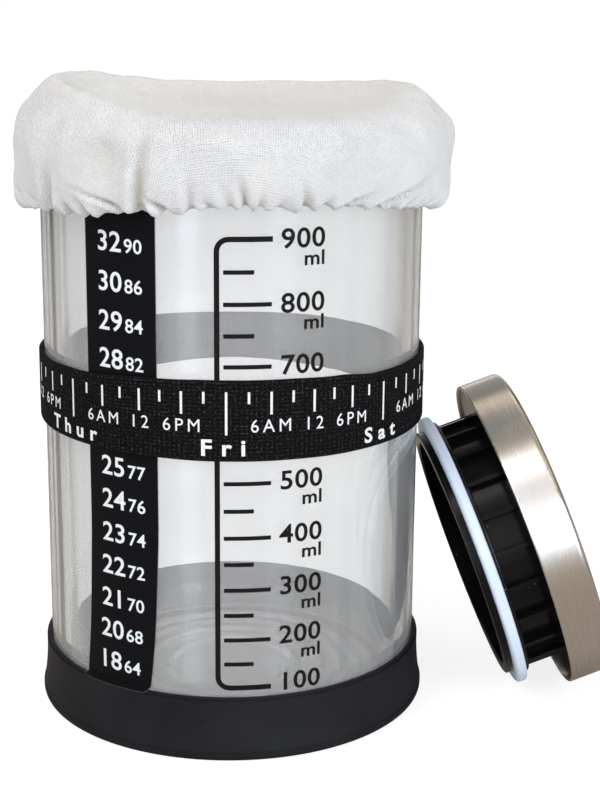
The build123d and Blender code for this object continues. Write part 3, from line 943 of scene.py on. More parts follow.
@dataclass
class GlassJar:
    """The glass jar and the scale printed on it. Lengths in millimetres, angles in degrees."""

    radius: float = 51.25
    inner_radius: float = 46.75
    bore: float = 39.4
    neck_radius: float = 44.0
    bead_radius: float = 46.0
    foot: float = 2.0
    push_up: float = 0.9
    bearing_radius: float = 37.25
    floor: float = 5.5
    body_top: float = 145.5
    shoulder: float = 7.25
    shoulder_step: float = 1.0
    bead_bottom: float = 160.0
    rim: float = 165.0
    heel_round: float = 5.0
    floor_round: float = 9.0
    bead_round: float = 1.45
    mouth_round: float = 3.5
    groove_radii: tuple[float, ...] = (31.75, 36.75, 41.75)
    groove_width: float = 1.6
    groove_depth: float = 0.35
    groove_round: float = 0.2
    groove_bed_round: float = 0.15
    neck_round: float = 0.6
    under_bead_round: float = 0.4
    bore_round: float = 0.3
    ripple_radii: tuple[float, ...] = (36.5, 31.0, 25.0, 18.0)
    ripple_rise: float = 0.8
    ripple_half_width: float = 1.9
    ripple_foot_round: float = 0.8
    ripple_crest_round: float = 1.2
    arc_steps: int = 10
    segments: int = 224

    print_gap: float = 0.04
    line_angle: float = -4.3
    line_width: float = 1.35
    tick_width: float = 1.1
    corner_radius: float = 3.0
    corner_steps: int = 8
    top_line_end: float = 11.1
    tick_start: float = -2.5
    long_tick_end: float = 10.9
    short_tick_end: float = 6.0
    tick_step: int = 50
    first_mark: float = 19.8
    mark_step: float = 13.0
    mark_growth: float = 0.21
    last_hundred: int = 9
    figure_angle: float = 26.5
    figure_height: float = 5.05
    # How far the figures stand above their marks: at the top mark, and more for each mark below it
    figure_rise: float = 0.15
    figure_rise_step: float = 0.13
    unit_height: float = 3.7
    unit_drop: float = 4.45
    bare_hundreds: tuple[int, ...] = (1, 7)

    def build(self) -> None:
        """Build the glass and its print."""
        glass = finish_piece(self.glass_mesh(), "jar_glass_wall", ClearGlass().build(), Body.JAR)
        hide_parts("glass_jar")
        self.scale_print()

    def glass_mesh(self) -> bmesh.types.BMesh:
        """Spin the jar's section: outside from the base up, over the rim and down the inside."""
        shoulder_top = self.body_top + self.shoulder
        inner_top = shoulder_top - self.shoulder_step
        half_groove = self.groove_width / 2
        corners: list[Corner] = [(0, self.foot + self.push_up, 0)]
        for groove in self.groove_radii:
            level = self.foot + self.push_up * (1 - min(1.0, groove / self.bearing_radius) ** 2)
            bed = level + self.groove_depth
            corners += [(groove - half_groove, level, self.groove_round),
                        (groove - half_groove, bed, self.groove_bed_round),
                        (groove + half_groove, bed, self.groove_bed_round),
                        (groove + half_groove, level, self.groove_round)]
        corners += [
            (self.radius, self.foot, self.heel_round),
            (self.radius, shoulder_top, self.shoulder - self.neck_round),
            (self.neck_radius, shoulder_top, self.neck_round),
            (self.neck_radius, self.bead_bottom, self.under_bead_round),
            (self.bead_radius, self.bead_bottom, self.bead_round),
            (self.bead_radius, self.rim, self.bead_round), (self.bore, self.rim, self.mouth_round),
            (self.bore, inner_top, self.bore_round),
            (self.inner_radius, inner_top, self.inner_radius - self.bore - self.under_bead_round),
            (self.inner_radius, self.floor, self.floor_round)]
        for ripple in self.ripple_radii:
            corners += [(ripple + self.ripple_half_width, self.floor, self.ripple_foot_round),
                        (ripple, self.floor + self.ripple_rise, self.ripple_crest_round),
                        (ripple - self.ripple_half_width, self.floor, self.ripple_foot_round)]
        corners += [(0, self.floor, 0)]
        return spin_outline(outline(corners, self.arc_steps), self.segments)

    def mark_level(self, millilitres: float) -> float:
        """Level of a mark of the scale."""
        steps = millilitres / 100 - 1
        return self.first_mark + self.mark_step * steps + self.mark_growth * steps ** 2

    def scale_print(self) -> None:
        """Print the bracket line, the marks and their figures."""
        ink = Print(self.radius + self.print_gap, boldness=0.016)
        bottom, top = self.mark_level(100), self.mark_level(100 * self.last_hundred)
        half = self.line_width / 2
        half_angle = math.degrees(half / ink.radius)
        ink.bar(self.line_angle - half_angle, self.line_angle + half_angle,
                bottom + self.corner_radius, top - self.corner_radius)
        turn = math.degrees(self.corner_radius / ink.radius)
        for level, side in ((top, 1), (bottom, -1)):
            self.print_corner(ink, level - side * self.corner_radius, side)
            ink.bar(self.line_angle + turn, self.top_line_end, level - half, level + half)
        for millilitres in range(100 + self.tick_step, 100 * self.last_hundred, self.tick_step):
            level = self.mark_level(millilitres)
            end_angle = self.short_tick_end if millilitres % 100 else self.long_tick_end
            ink.bar(self.tick_start, end_angle, level - self.tick_width / 2, level + self.tick_width / 2)
        for hundreds in range(1, self.last_hundred + 1):
            rise = self.figure_rise + self.figure_rise_step * (self.last_hundred - hundreds)
            foot = self.mark_level(100 * hundreds) - self.figure_height / 2 + rise
            ink.text(f"{hundreds}00", self.figure_angle, foot, self.figure_height, Align.RIGHT,
                     spacing=1.06, stretch=1.09)
            if hundreds not in self.bare_hundreds:
                ink.text("ml", self.figure_angle, foot - self.unit_drop, self.unit_height, Align.RIGHT,
                         spacing=1.04, stretch=1.14, boldness=0.02)
        black = PrintedInk("black_print", (0.0055, 0.0055, 0.006), (0.02, 0.02, 0.02))
        ink.piece("volume_scale", black.build(), Body.JAR)

    def print_corner(self, ink: Print, centre_level: float, side: int) -> None:
        """Print the quarter turn at an end of the line.

        Args:
            ink: The print that it is added to.
            centre_level: Level of its centre.
            side: 1 for the upper end of the line and -1 for the lower.
        """
        centre = Vector((ink.across(self.line_angle) + self.corner_radius, centre_level, 0)) * MM
        half = self.line_width / 2
        ends = [ink.flat.verts.new(centre - Vector((self.corner_radius + shift, 0, 0)) * MM)
                for shift in (-half, half)]
        edge = ink.flat.edges.new(ends)
        bmesh.ops.spin(ink.flat, geom=ends + [edge], cent=centre, axis=(0, 0, -side), dvec=(0, 0, 0),
                       angle=math.pi / 2, steps=self.corner_steps, use_merge=False, use_duplicate=False)


@dataclass
class ThermometerStrip:
    """The stuck-on thermometer strip: a black film with a pale cut edge and white figures."""

    radius: float = 51.33
    thickness: float = 0.15
    start_angle: float = -45.3
    end_angle: float = -21.5
    bottom: float = 17.0
    top: float = 144.5
    corner: float = 1.8
    corner_steps: int = 6
    columns: int = 16
    # Heights over its lower end at which the film is cut across: close ones where it laps, then wider ones
    lap_rows: tuple[float, ...] = tuple(0.1 * row for row in range(1, 11))
    rows: tuple[float, ...] = tuple(1.4 + 1.5 * row for row in range(30))
    edge_width: float = 0.12
    edge_lift: float = -0.03
    lap_top: float = 17.95
    lap_bottom: float = 17.45
    lap_reach: float = 1.58
    ink_gap: float = 0.02
    big_height: float = 5.2
    big_angle: float = -36.3
    small_height: float = 3.6
    small_angle: float = -28.3
    # Levels and how many degrees the strip strays to the left there
    lean: tuple[tuple[float, float], ...] = (
        (10.0, 4.2), (15.4, 3.5), (23.5, 2.4), (32.0, 1.5), (41.0, 0.9), (50.0, 0.5), (58.0, 0.15),
        (66.0, 0.0), (160.0, 0.0))
    figures: tuple[tuple[int, int, float], ...] = (
        (32, 90, 135.3), (30, 86, 125.2), (29, 84, 115.2), (28, 82, 105.5), (27, 81, 96.1), (26, 79, 86.7),
        (25, 77, 77.2), (24, 76, 68.3), (23, 74, 59.2), (22, 72, 50.2), (21, 70, 41.1), (20, 68, 32.4),
        (18, 64, 23.5))

    def build(self) -> None:
        """Build the film, its cut edge and its figures."""
        film = finish_piece(self.sheet(0.0, 0.0), "thermometer_film", LaminatedFilm().build(), Body.JAR)
        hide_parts("thermometer_strip")
        pale = PrintedInk("film_edge", (0.16, 0.16, 0.165), (0.06, 0.06, 0.06), speckle=1.0)
        rim = finish_piece(self.sheet(self.edge_width, self.edge_lift), "film_edge", pale.build(), Body.JAR)
        ink = Print(self.radius + self.thickness + self.ink_gap, boldness=0.012)
        for big, small, level in self.figures:
            base = level - self.big_height / 2
            stray = self.stray(level)
            ink.text(str(big), self.big_angle - stray, base, self.big_height, spacing=1.04, stretch=1.08)
            ink.text(str(small), self.small_angle - stray, base, self.small_height, spacing=1.04,
                     stretch=1.05)
        white = PrintedInk("white_figures", (0.80, 0.84, 0.88), (0.6, 0.64, 0.7), speckle=0.5)
        ink.piece("thermometer_figures", white.build(), Body.JAR)

    def stray(self, level: float) -> float:
        """Degrees that the strip strays to the left at a level."""
        for (low, before), (high, after) in zip(self.lean, self.lean[1:]):
            if low <= level <= high:
                return before + (after - before) * (level - low) / (high - low)
        return 0.0

    def sheet(self, margin: float, lift: float) -> bmesh.types.BMesh:
        """Make a rounded film, wider than the strip by a margin and shifted off the glass by a lift."""
        middle = math.radians((self.start_angle + self.end_angle) / 2) * self.radius * MM
        width = math.radians(self.end_angle - self.start_angle) * self.radius + 2 * margin
        height = self.top - self.bottom + 2 * margin
        centre = Vector((middle, (self.top + self.bottom) / 2 * MM, 0))
        mesh = bmesh.new()
        place = Matrix.Translation(centre) @ Matrix.Diagonal((width * MM, height * MM, 1, 1))
        bmesh.ops.create_grid(mesh, x_segments=1, y_segments=1, size=0.5, matrix=place)
        bmesh.ops.bevel(mesh, geom=mesh.verts[:], offset=(self.corner + margin) * MM, affect="VERTICES",
                        segments=self.corner_steps, profile=0.5, material=-1)
        for column in range(1, self.columns):
            cut(mesh, (centre.x + (column / self.columns - 0.5) * width * MM, 0, 0), (1, 0, 0))
        for rise in self.lap_rows + self.rows:
            cut(mesh, (0, (self.bottom + rise) * MM, 0), (0, 1, 0))
        raise_sheet(mesh, self.thickness * MM)
        for vert in mesh.verts:
            share = clamped((self.lap_top * MM - vert.co.y) / ((self.lap_top - self.lap_bottom) * MM))
            vert.co.z += (lift + self.lap_reach * eased(share)) * MM
            vert.co.x -= math.radians(self.stray(vert.co.y / MM)) * self.radius * MM
        bmesh.ops.recalc_face_normals(mesh, faces=mesh.faces)
        wrap_round(mesh, self.radius * MM)
        return mesh


@dataclass
class DateBand:
    """The elastic date band, its printed week and the seam at the back."""

    inner_radius: float = 51.68
    thickness: float = 1.0
    bottom: float = 82.2
    height: float = 20.0
    rib_pitch: float = 0.95
    rib_depth: float = 0.09
    # Where a rib's flat top starts and ends, as shares of its pitch
    rib_shares: Span = (0.3, 0.7)
    cord_width: float = 1.1
    cord_round: float = 0.1
    edge_round: float = 0.3
    arc_steps: int = 3
    segments: int = 256
    first_day_angle: float = -149.3
    day_angle: float = 49.2
    days: tuple[str, ...] = ("Tue", "Wed", "Thur", "Fri", "Sat", "Sun", "Mon")
    tick_top: float = 99.5
    day_tick_bottom: float = 88.9
    quarter_tick_bottom: float = 93.9
    eighth_tick_bottom: float = 96.6
    tick_width: float = 0.62
    hour_height: float = 3.35
    hour_bottom: float = 89.55
    day_height: float = 4.1
    day_bottom: float = 83.8
    day_shift: float = -0.9
    hours: tuple[tuple[float, str], ...] = ((0.25, "6AM"), (0.5, "12"), (0.75, "6PM"))
    ink_gap: float = 0.02
    ink_thickness: float = 0.04
    seam_length: float = 12.0
    seam_thickness: float = 0.75
    seam_inset: float = 0.3
    seam_sink: float = 0.1
    seam_steps: int = 12
    stitch_radius: float = 0.6
    stitch_shape: tuple[float, float, float] = (0.35, 0.5, 1.5)
    stitch_lean: float = 0.35
    stitch_count: int = 9
    stitch_margin: float = 2.2
    stitch_inset: float = 1.6

    # Angle from the front, then how far the band's lower and upper edge stray from their levels there
    EDGES = ((-180, 1.4, -4.6), (-140, 0.4, -4.0), (-110, -0.7, -3.0), (-70, -0.8, -2.3), (-50, -0.65, -1.7),
             (-20, -0.65, -0.3), (-8, -0.8, 0.0), (15, -0.9, -0.1), (31, -1.1, -0.6), (45, -1.15, -1.8),
             (62, -1.15, -2.1), (90, -1.1, -2.6), (140, 0.4, -4.0))

    def build(self) -> None:
        """Build the band, its print and its seam."""
        weave = WovenElastic().build()
        band = finish_piece(self.loop_mesh(), "elastic_band", weave, Body.BAND, smooth_angle=80)
        self.map_length(band.data)
        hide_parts("date_band")
        self.settle(band.data)
        lap = finish_piece(self.lap_mesh(), "band_seam_lap", weave, Body.BAND)
        self.map_length(lap.data)
        self.settle(lap.data)
        self.stitches()
        self.week_print()

    @property
    def outer_radius(self) -> float:
        """Radius over the ribs."""
        return self.inner_radius + self.thickness

    def section(self, bottom: float, top: float, inner: float, outer: float) -> list[Vector]:
        """Section of the ribbed band between two levels and two radii, as a closed outline.

        Args:
            bottom: Its lower level.
            top: Its upper level.
            inner: Radius of its smooth side.
            outer: Radius of its ribs' tops.

        Returns:
            The closed outline, in metres.
        """
        rows = round((top - bottom - 2 * self.cord_width) / self.rib_pitch)
        start = bottom + self.cord_width
        pitch = (top - bottom - 2 * self.cord_width) / rows
        corners: list[Corner] = [(inner, bottom, 0), (outer, bottom, self.edge_round),
                                 (outer, start - self.cord_round, self.cord_round)]
        for row in range(rows):
            level = start + row * pitch
            corners += [(outer - self.rib_depth, level, 0)]
            corners += [(outer, level + pitch * share, 0) for share in self.rib_shares]
        end = top - self.cord_width
        corners += [(outer - self.rib_depth, end, 0), (outer, end + self.cord_round, self.cord_round),
                    (outer, top, self.edge_round), (inner, top, 0), (inner, bottom, 0)]
        return outline(corners, self.arc_steps)

    def loop_mesh(self) -> bmesh.types.BMesh:
        """Spin the band's section right round."""
        return spin_outline(self.section(self.bottom, self.bottom + self.height, self.inner_radius,
                                         self.outer_radius), self.segments)

    def lap_mesh(self) -> bmesh.types.BMesh:
        """Make the end that laps over the band at the back."""
        angle = self.seam_length / self.outer_radius
        points = self.section(self.bottom + self.seam_inset, self.bottom + self.height - self.seam_inset,
                              self.outer_radius - self.seam_sink, self.outer_radius + self.seam_thickness)
        mesh = spin_outline(points, self.seam_steps, angle)
        bmesh.ops.holes_fill(mesh, edges=[edge for edge in mesh.edges if edge.is_boundary])
        bmesh.ops.rotate(mesh, verts=mesh.verts, cent=(0, 0, 0),
                         matrix=Matrix.Rotation(math.pi / 2 - angle / 2, 3, "Z"))
        bmesh.ops.recalc_face_normals(mesh, faces=mesh.faces)
        return mesh

    def map_length(self, data: bpy.types.Mesh) -> None:
        """Give a mesh a map of the length round the band and the level, in metres."""
        layer = data.uv_layers.new(name="Length")
        radius = self.outer_radius * MM
        for polygon in data.polygons:
            middle = math.atan2(polygon.center.y, polygon.center.x)
            for loop in polygon.loop_indices:
                point = data.vertices[data.loops[loop].vertex_index].co
                turn = math.atan2(point.y, point.x)
                turn = middle + math.remainder(turn - middle, TURN)
                depth = (math.hypot(point.x, point.y) - self.inner_radius * MM)
                layer.data[loop].uv = (turn * radius, point.z + depth)

    def settle(self, data: bpy.types.Mesh) -> None:
        """Let a piece follow the band's edges, which hang at the sides and draw in towards the seam."""
        for vertex in data.vertices:
            low, high = (around(self.EDGES, front_angle(vertex.co), column) for column in (1, 2))
            share = (vertex.co.z / MM - self.bottom) / self.height
            vertex.co.z += (low + (high - low) * share) * MM

    def stitches(self) -> None:
        """Sew the lap with two upright rows of short stitches."""
        mesh = bmesh.new()
        radius = (self.outer_radius + self.seam_thickness) * MM
        half_lap = self.seam_length / 2 * MM - self.stitch_inset * MM
        spacing = (self.height - 2 * self.stitch_margin) / (self.stitch_count - 1)
        for side in (-1, 1):
            for index in range(self.stitch_count):
                level = (self.bottom + self.stitch_margin + index * spacing) * MM
                angle = math.pi / 2 + side * half_lap / radius
                place = (Matrix.Rotation(angle, 4, "Z") @ Matrix.Translation((radius, 0, level))
                         @ Matrix.Rotation(self.stitch_lean * side, 4, "X")
                         @ Matrix.Diagonal((*self.stitch_shape, 1)))
                bmesh.ops.create_icosphere(mesh, subdivisions=2, radius=self.stitch_radius * MM, matrix=place)
        thread = PrintedInk("seam_thread", (0.02, 0.02, 0.021), (0.05, 0.05, 0.05), roughness=0.6)
        sewn = finish_piece(mesh, "band_stitches", thread.build(), Body.BAND)
        self.settle(sewn.data)

    def week_print(self) -> None:
        """Print a week of ticks, hours and days round the band."""
        ink = Print(self.outer_radius + self.ink_gap, thickness=self.ink_thickness, boldness=0.026)
        for index, day in enumerate(self.days):
            start = self.first_day_angle + index * self.day_angle
            ink.tick(start, self.day_tick_bottom, self.tick_top, self.tick_width)
            for eighth in range(1, 8):
                bottom = self.eighth_tick_bottom if eighth % 2 else self.quarter_tick_bottom
                ink.tick(start + eighth * self.day_angle / 8, bottom, self.tick_top, self.tick_width)
            for share, label in self.hours:
                ink.text(label, start + share * self.day_angle, self.hour_bottom, self.hour_height,
                         spacing=1.38, boldness=0.0)
            ink.text(day, start + self.day_shift, self.day_bottom, self.day_height, spacing=1.7, stretch=1.15)
        end = self.first_day_angle + len(self.days) * self.day_angle
        ink.tick(end, self.day_tick_bottom, self.tick_top, self.tick_width)
        white = PrintedInk("white_band_print", (0.82, 0.83, 0.84), (0.30, 0.30, 0.31), roughness=0.6,
                           speckle=0.6)
        self.settle(ink.piece("week_print", white.build(), Body.BAND).data)


@dataclass
class Lid:
    """The plug lid, carried over from the frame. Its place in millimetres and degrees."""

    origin: tuple[float, float, float] = (80.288, 4.411, 42.125)
    lean: float = 19.83
    heading: float = 4.0

    @property
    def axis(self) -> Vector:
        """Direction from the plug's side to the top of the lid."""
        lean, heading = math.radians(self.lean), math.radians(self.heading)
        level = math.cos(lean)
        return Vector((level * math.cos(heading), level * math.sin(heading), math.sin(lean)))

    def build(self) -> None:
        """Dress the cap, the plug and the sealing ring."""
        dress("lid_cap", BrushedSteel(Vector(self.origin) * MM, self.axis).build())
        dress("lid_plug", MouldedPlastic().build())
        dress("lid_gasket", PaleSilicone().build())


@dataclass(frozen=True)
class Crease:
    """A fold above the hem.

    Its angles at the foot and at the top in degrees, then its reach, depth and width in millimetres. A flap
    widens it to one side.
    """

    foot_angle: float
    top_angle: float
    reach: float
    depth: float
    width: float
    flap: float = 0.0
    # The cloth that it throws up: height as a share of its depth, and distance and width in its own widths
    roll_share: float = 0.45
    roll_distance: float = 2.2
    roll_width: float = 1.0
    farthest: float = 6.0

    def depth_at(self, angle: float, height: float, radius: float) -> float:
        """Depth that the fold takes from the cloth, less what it throws up beside it.

        Args:
            angle: Degrees from the front.
            height: Height above the hem's edge.
            radius: Radius of the cloth there.
        """
        if height > self.reach:
            return 0.0
        share = max(0.0, height) / self.reach
        middle = self.foot_angle + (self.top_angle - self.foot_angle) * share ** 1.2
        away = math.radians(math.remainder(angle - middle, 360)) * radius / self.width
        if abs(away) > self.farthest:
            return 0.0
        fade = (1 - share) ** 2 * (1 + 2 * share)
        spread = 1.0 + self.flap * (away > 0)
        groove = math.exp(-abs(away / spread) ** 1.6)
        roll = self.roll_share * math.exp(-((abs(away) - self.roll_distance) / self.roll_width) ** 2)
        return self.depth * fade * (groove - roll)


@dataclass
class ClothCover:
    """The gathered muslin cover: a flat round of cloth drawn in over the mouth by an elastic in its hem.

    Lengths in millimetres, angles in degrees from the front.
    """

    flat_radius: float = 86.5
    thickness: float = 0.5
    columns: int = 480
    inner_row: float = 2.2
    outer_row: float = 0.6
    dense_from: float = 41.0
    mid_level: float = 163.3
    rim_level: float = 165.8
    lowest_crest: float = 165.2
    shoulder_level: float = 158.0
    section_steps: int = 10
    hem_radius: float = 55.9
    tuck_radius: float = 52.1
    tightest: float = 54.1
    elastic_radius: float = 52.75
    elastic_thickness: float = 0.6
    elastic_width: float = 3.6
    elastic_rise: float = 1.4
    elastic_round: float = 0.2
    elastic_columns: int = 192
    # Heights and widths of the cloth's unevenness, from broad to fine
    billow: tuple[float, float] = (1.7, 15.0)
    slack: tuple[float, float] = (0.5, 24.0)
    drag: tuple[float, float, float] = (0.85, 6.5, 11.0)
    ripple: tuple[float, float] = (0.16, 3.2)
    pucker: tuple[float, float, float] = (0.45, 1.9, 2.6)
    hem_waver: tuple[float, float, float] = (0.55, 4.5, 2.5)
    # Fold depth at which the painted fold shade is full, and the painted shade of the dent
    full_fold_depth: float = 1.9
    dent_fold: float = 0.45
    tucked_share: float = 0.4
    # Levels and radii at which the folds start and the gathered cloth ends
    fold_radius: float = 50.0
    side_radius: float = 49.5
    side_width: float = 6.0
    held_radius: float = 43.5
    free_level: float = 157.0
    crease_reach: float = 24.0
    smoothing: float = 0.3

    # Angle, radius and level of the crest, radius of the belly and level of the hem's edge round the cover
    CREST = ((-180, 47.0, 166.6), (-158, 47.0, 167.2), (-140, 47.2, 169.0), (-122, 47.4, 171.2),
             (-105, 47.0, 172.0), (-90, 46.6, 172.3), (-76, 46.9, 172.2), (-64, 47.6, 171.4),
             (-53, 48.4, 170.5), (-42, 48.9, 169.0), (-32, 49.6, 167.1), (-24, 50.3, 166.1),
             (-12, 50.6, 165.4), (0, 50.7, 165.2), (30, 50.6, 165.1), (46, 50.4, 165.3), (60, 50.4, 166.0),
             (72, 50.4, 167.1), (86, 50.0, 168.9), (100, 49.2, 169.8), (116, 48.2, 169.4), (130, 47.4, 168.3),
             (152, 47.0, 167.1))
    BELLY = ((-180, 57.0), (-120, 57.6), (-90, 58.1), (-60, 57.8), (-30, 57.4), (0, 57.5), (40, 57.8),
             (70, 58.2), (100, 58.2), (140, 57.4))
    HEM = ((-180, 143.6), (-135, 141.2), (-90, 139.4), (-50, 141.2), (-35, 142.9), (-21, 143.9), (-8, 144.8),
           (4, 145.5), (25, 145.2), (34, 144.0), (48, 142.2), (79, 139.9), (110, 140.0), (150, 142.6))
    CREASES = (
        Crease(-53.2, -53.0, 17.0, 2.2, 1.4), Crease(-27.5, -50.0, 9.0, 1.9, 1.1, 0.8),
        Crease(-23.6, -22.3, 25.0, 2.5, 1.35, 1.4), Crease(-16.6, -24.2, 5.5, 2.2, 0.9, 1.0),
        Crease(-10.5, -10.4, 12.0, 1.5, 0.9, 0.6), Crease(-5.5, -8.5, 3.4, 0.9, 0.9, 0.6),
        Crease(-0.4, -3.6, 8.0, 1.1, 1.2, 0.9), Crease(3.2, 1.2, 9.5, 2.3, 0.9, 0.6),
        Crease(6.6, 7.8, 6.0, 1.2, 0.9, 0.3), Crease(11.4, 14.4, 3.6, 0.9, 1.0, 0.6),
        Crease(18.2, 16.6, 8.5, 2.2, 1.0, 0.6), Crease(23.6, 26.4, 4.4, 1.2, 1.0, 0.8),
        Crease(28.6, 43.5, 6.2, 2.5, 0.9, 0.8), Crease(39.0, 69.0, 12.0, 2.6, 1.1, 0.5),
        Crease(50.0, 55.0, 5.0, 2.2, 1.0, 0.6), Crease(58.0, 66.0, 4.2, 2.4, 1.0, 0.6),
        Crease(70.0, 79.0, 13.0, 1.8, 1.6), Crease(-38.5, -42.0, 4.5, 2.4, 0.9, 0.5),
        Crease(-45.0, -47.0, 4.0, 2.4, 0.9, 0.5), Crease(-60.0, -66.0, 5.0, 2.3, 1.0),
        Crease(-66.0, -74.0, 7.0, 2.2, 1.2), Crease(-74.0, -80.0, 6.0, 2.2, 1.1))
    # A sag above the big fold: its angle, height over the hem, half widths and depth
    DENT = (-33.0, 14.5, 6.5, 6.0, 2.2)
    BACK_CREASES_FROM = 84.0
    BACK_CREASES = 21

    def build(self) -> None:
        """Build the cloth and the elastic in its hem."""
        white = PaleSilicone("white_elastic").build()
        elastic = finish_piece(self.elastic_mesh(), "hem_elastic_loop", white, Body.COVER)
        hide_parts("cover_elastic")
        cloth = finish_piece(self.cloth_mesh(), "muslin_cover", Muslin().build(), Body.COVER,
                             smooth_angle=180)
        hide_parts("cloth_cover")

    def all_creases(self) -> list[Crease]:
        """The creases of the front and evenly varied ones for the back."""
        creases = list(self.CREASES)
        room = (360 - 2 * self.BACK_CREASES_FROM) / self.BACK_CREASES
        for index in range(self.BACK_CREASES):
            chance = [noise.noise(Vector((index * 3.7 + shift, 5.1, 0.4)))
                      for shift in (0.0, 40.0, 80.0, 120.0)]
            foot = self.BACK_CREASES_FROM + (index + 0.5 + 0.6 * chance[0]) * room
            creases.append(Crease(foot, foot + 9 * chance[1], 7 + 9 * abs(chance[2]), 1.9 + 0.9 * chance[3],
                                  1.3 + 0.5 * chance[0], 0.5 + chance[1]))
        return creases

    def section(self, angle: float) -> list[Vector]:
        """Points of the cloth's outer face at an angle, from the middle to the end of the tucked hem."""
        crest, crest_level = around(self.CREST, angle), around(self.CREST, angle, 2)
        belly, hem = around(self.BELLY, angle), around(self.HEM, angle)
        lift = crest_level - self.lowest_crest
        fall = crest_level - self.shoulder_level
        over_rim = self.rim_level - 0.15 + 0.58 * lift
        flare = 1.3 * max(0.0, math.sin(math.radians(angle)))
        corners = [
            (-8.0, self.mid_level), (0.0, self.mid_level), (14.0, self.mid_level + 0.05),
            (27.0, self.mid_level + 0.5 + 0.05 * lift), (36.5, self.mid_level + 1.4 + 0.22 * lift),
            (42.5, over_rim), ((42.5 + crest) / 2, (over_rim + crest_level) / 2 + 0.4), (crest, crest_level),
            (crest + (0.3 - 0.006 * lift) * (belly - crest), crest_level - 0.12 * fall),
            (crest + (0.64 - 0.016 * lift) * (belly - crest), crest_level - 0.36 * fall),
            (belly - 0.6 - 0.04 * lift, 160.6), (belly, 154.0),
            (belly - 0.1 + 0.5 * flare, hem + 5.5), (belly - 0.7 + flare, hem + 2.2),
            (self.hem_radius + flare, hem + 0.35), (self.hem_radius - 1.4 + 0.5 * flare, hem),
            (self.tuck_radius + 0.9, hem + 0.5), (self.tuck_radius, hem + 2.4), (self.tuck_radius, hem + 7.0),
            (self.tuck_radius, hem + 12.0)]
        points: list[Vector] = []
        for before, start, end, after in zip(corners, corners[1:], corners[2:], corners[3:]):
            knots = [Vector(corner) for corner in (before, start, end, after)]
            points += [catmull(knots, step / self.section_steps) for step in range(self.section_steps)]
        return points + [Vector(corners[-2])]

    def shaped(self, points: list[Vector], lengths: list[float], reach: float,
               angle: float, creases: list[Crease]) -> tuple[Vector, float]:
        """Place of one point of the flat cloth.

        Args:
            points: The section at its angle.
            lengths: Length along the section up to each point.
            reach: The point's distance from the middle of the flat cloth.
            angle: Its angle.
            creases: All folds near its angle.

        Returns:
            The place, and how far into a fold it lies from 0 to 1, which the cloth's material paints as
            shade.
        """
        along = reach / self.flat_radius * lengths[-1]
        index = min(bisect.bisect_right(lengths, along), len(points) - 1)
        start, end = points[index - 1], points[index]
        place = start.lerp(end, (along - lengths[index - 1]) / max(1e-9, lengths[index] - lengths[index - 1]))
        run = (end - start).normalized()
        out = Vector((-run.y, run.x))
        hem = around(self.HEM, angle)
        turn = math.radians(angle)
        flat = Vector((math.sin(turn), -math.cos(turn), 0)) * place.x
        spot = flat + Vector((0, 0, place.y))
        height = place.y - hem
        side = clamped((place.x - self.side_radius) / self.side_width)
        loose = 1.0 - 0.8 * max(0.0, 1 - abs(place.x - self.held_radius) / self.side_width)
        size, broad = self.billow
        billow = size * noise.noise(spot / broad) * side
        size, broad = self.slack
        billow += size * noise.noise(spot / broad + Vector((7, 3, 1))) * loose
        size, across, down = self.drag
        drag = size * noise.noise(Vector((flat.x / across, flat.y / across, place.y / down))) * side
        size, fine = self.ripple
        ripple = size * noise.noise(spot / fine) * (0.4 + 0.6 * side)
        size, fine, fade = self.pucker
        pucker = size * noise.noise(Vector((flat.x / fine, flat.y / fine, 3.0)))
        pucker *= math.exp(-max(0.0, height) / fade)
        tucked = clamped((place.x - self.tuck_radius - 0.6) / 1.8)
        under = along > lengths[-1] * 0.9 and place.x < self.hem_radius
        depth = sum(crease.depth_at(angle, height, place.x) for crease in creases)
        if place.x < self.fold_radius:
            depth = 0.0
        # How far into a fold the point lies, which the cloth's material paints as shade
        fold = clamped(depth / self.full_fold_depth)
        middle, level, half_across, half_up, sag = self.DENT
        aside = math.radians(angle - middle) * place.x / half_across
        dent = side * math.exp(-aside ** 2 - ((height - level) / half_up) ** 2)
        depth += sag * dent
        # The dent gets painted shade as well
        fold = max(fold, self.dent_fold * dent)
        if under:
            depth, billow, drag = depth * self.tucked_share * tucked, billow * tucked, drag * tucked
            pucker *= tucked
        moved = place + out * (billow + drag + ripple + pucker - depth)
        if not under and place.y < self.free_level:
            moved.x = max(moved.x, self.tightest)
        size, broad, fade = self.hem_waver
        waver = size * noise.noise(Vector((flat.x / broad, flat.y / broad, 9.0)))
        moved.y += waver * math.exp(-abs(height) / fade)
        return Vector((math.sin(turn) * moved.x, -math.cos(turn) * moved.x, moved.y)) * MM, fold

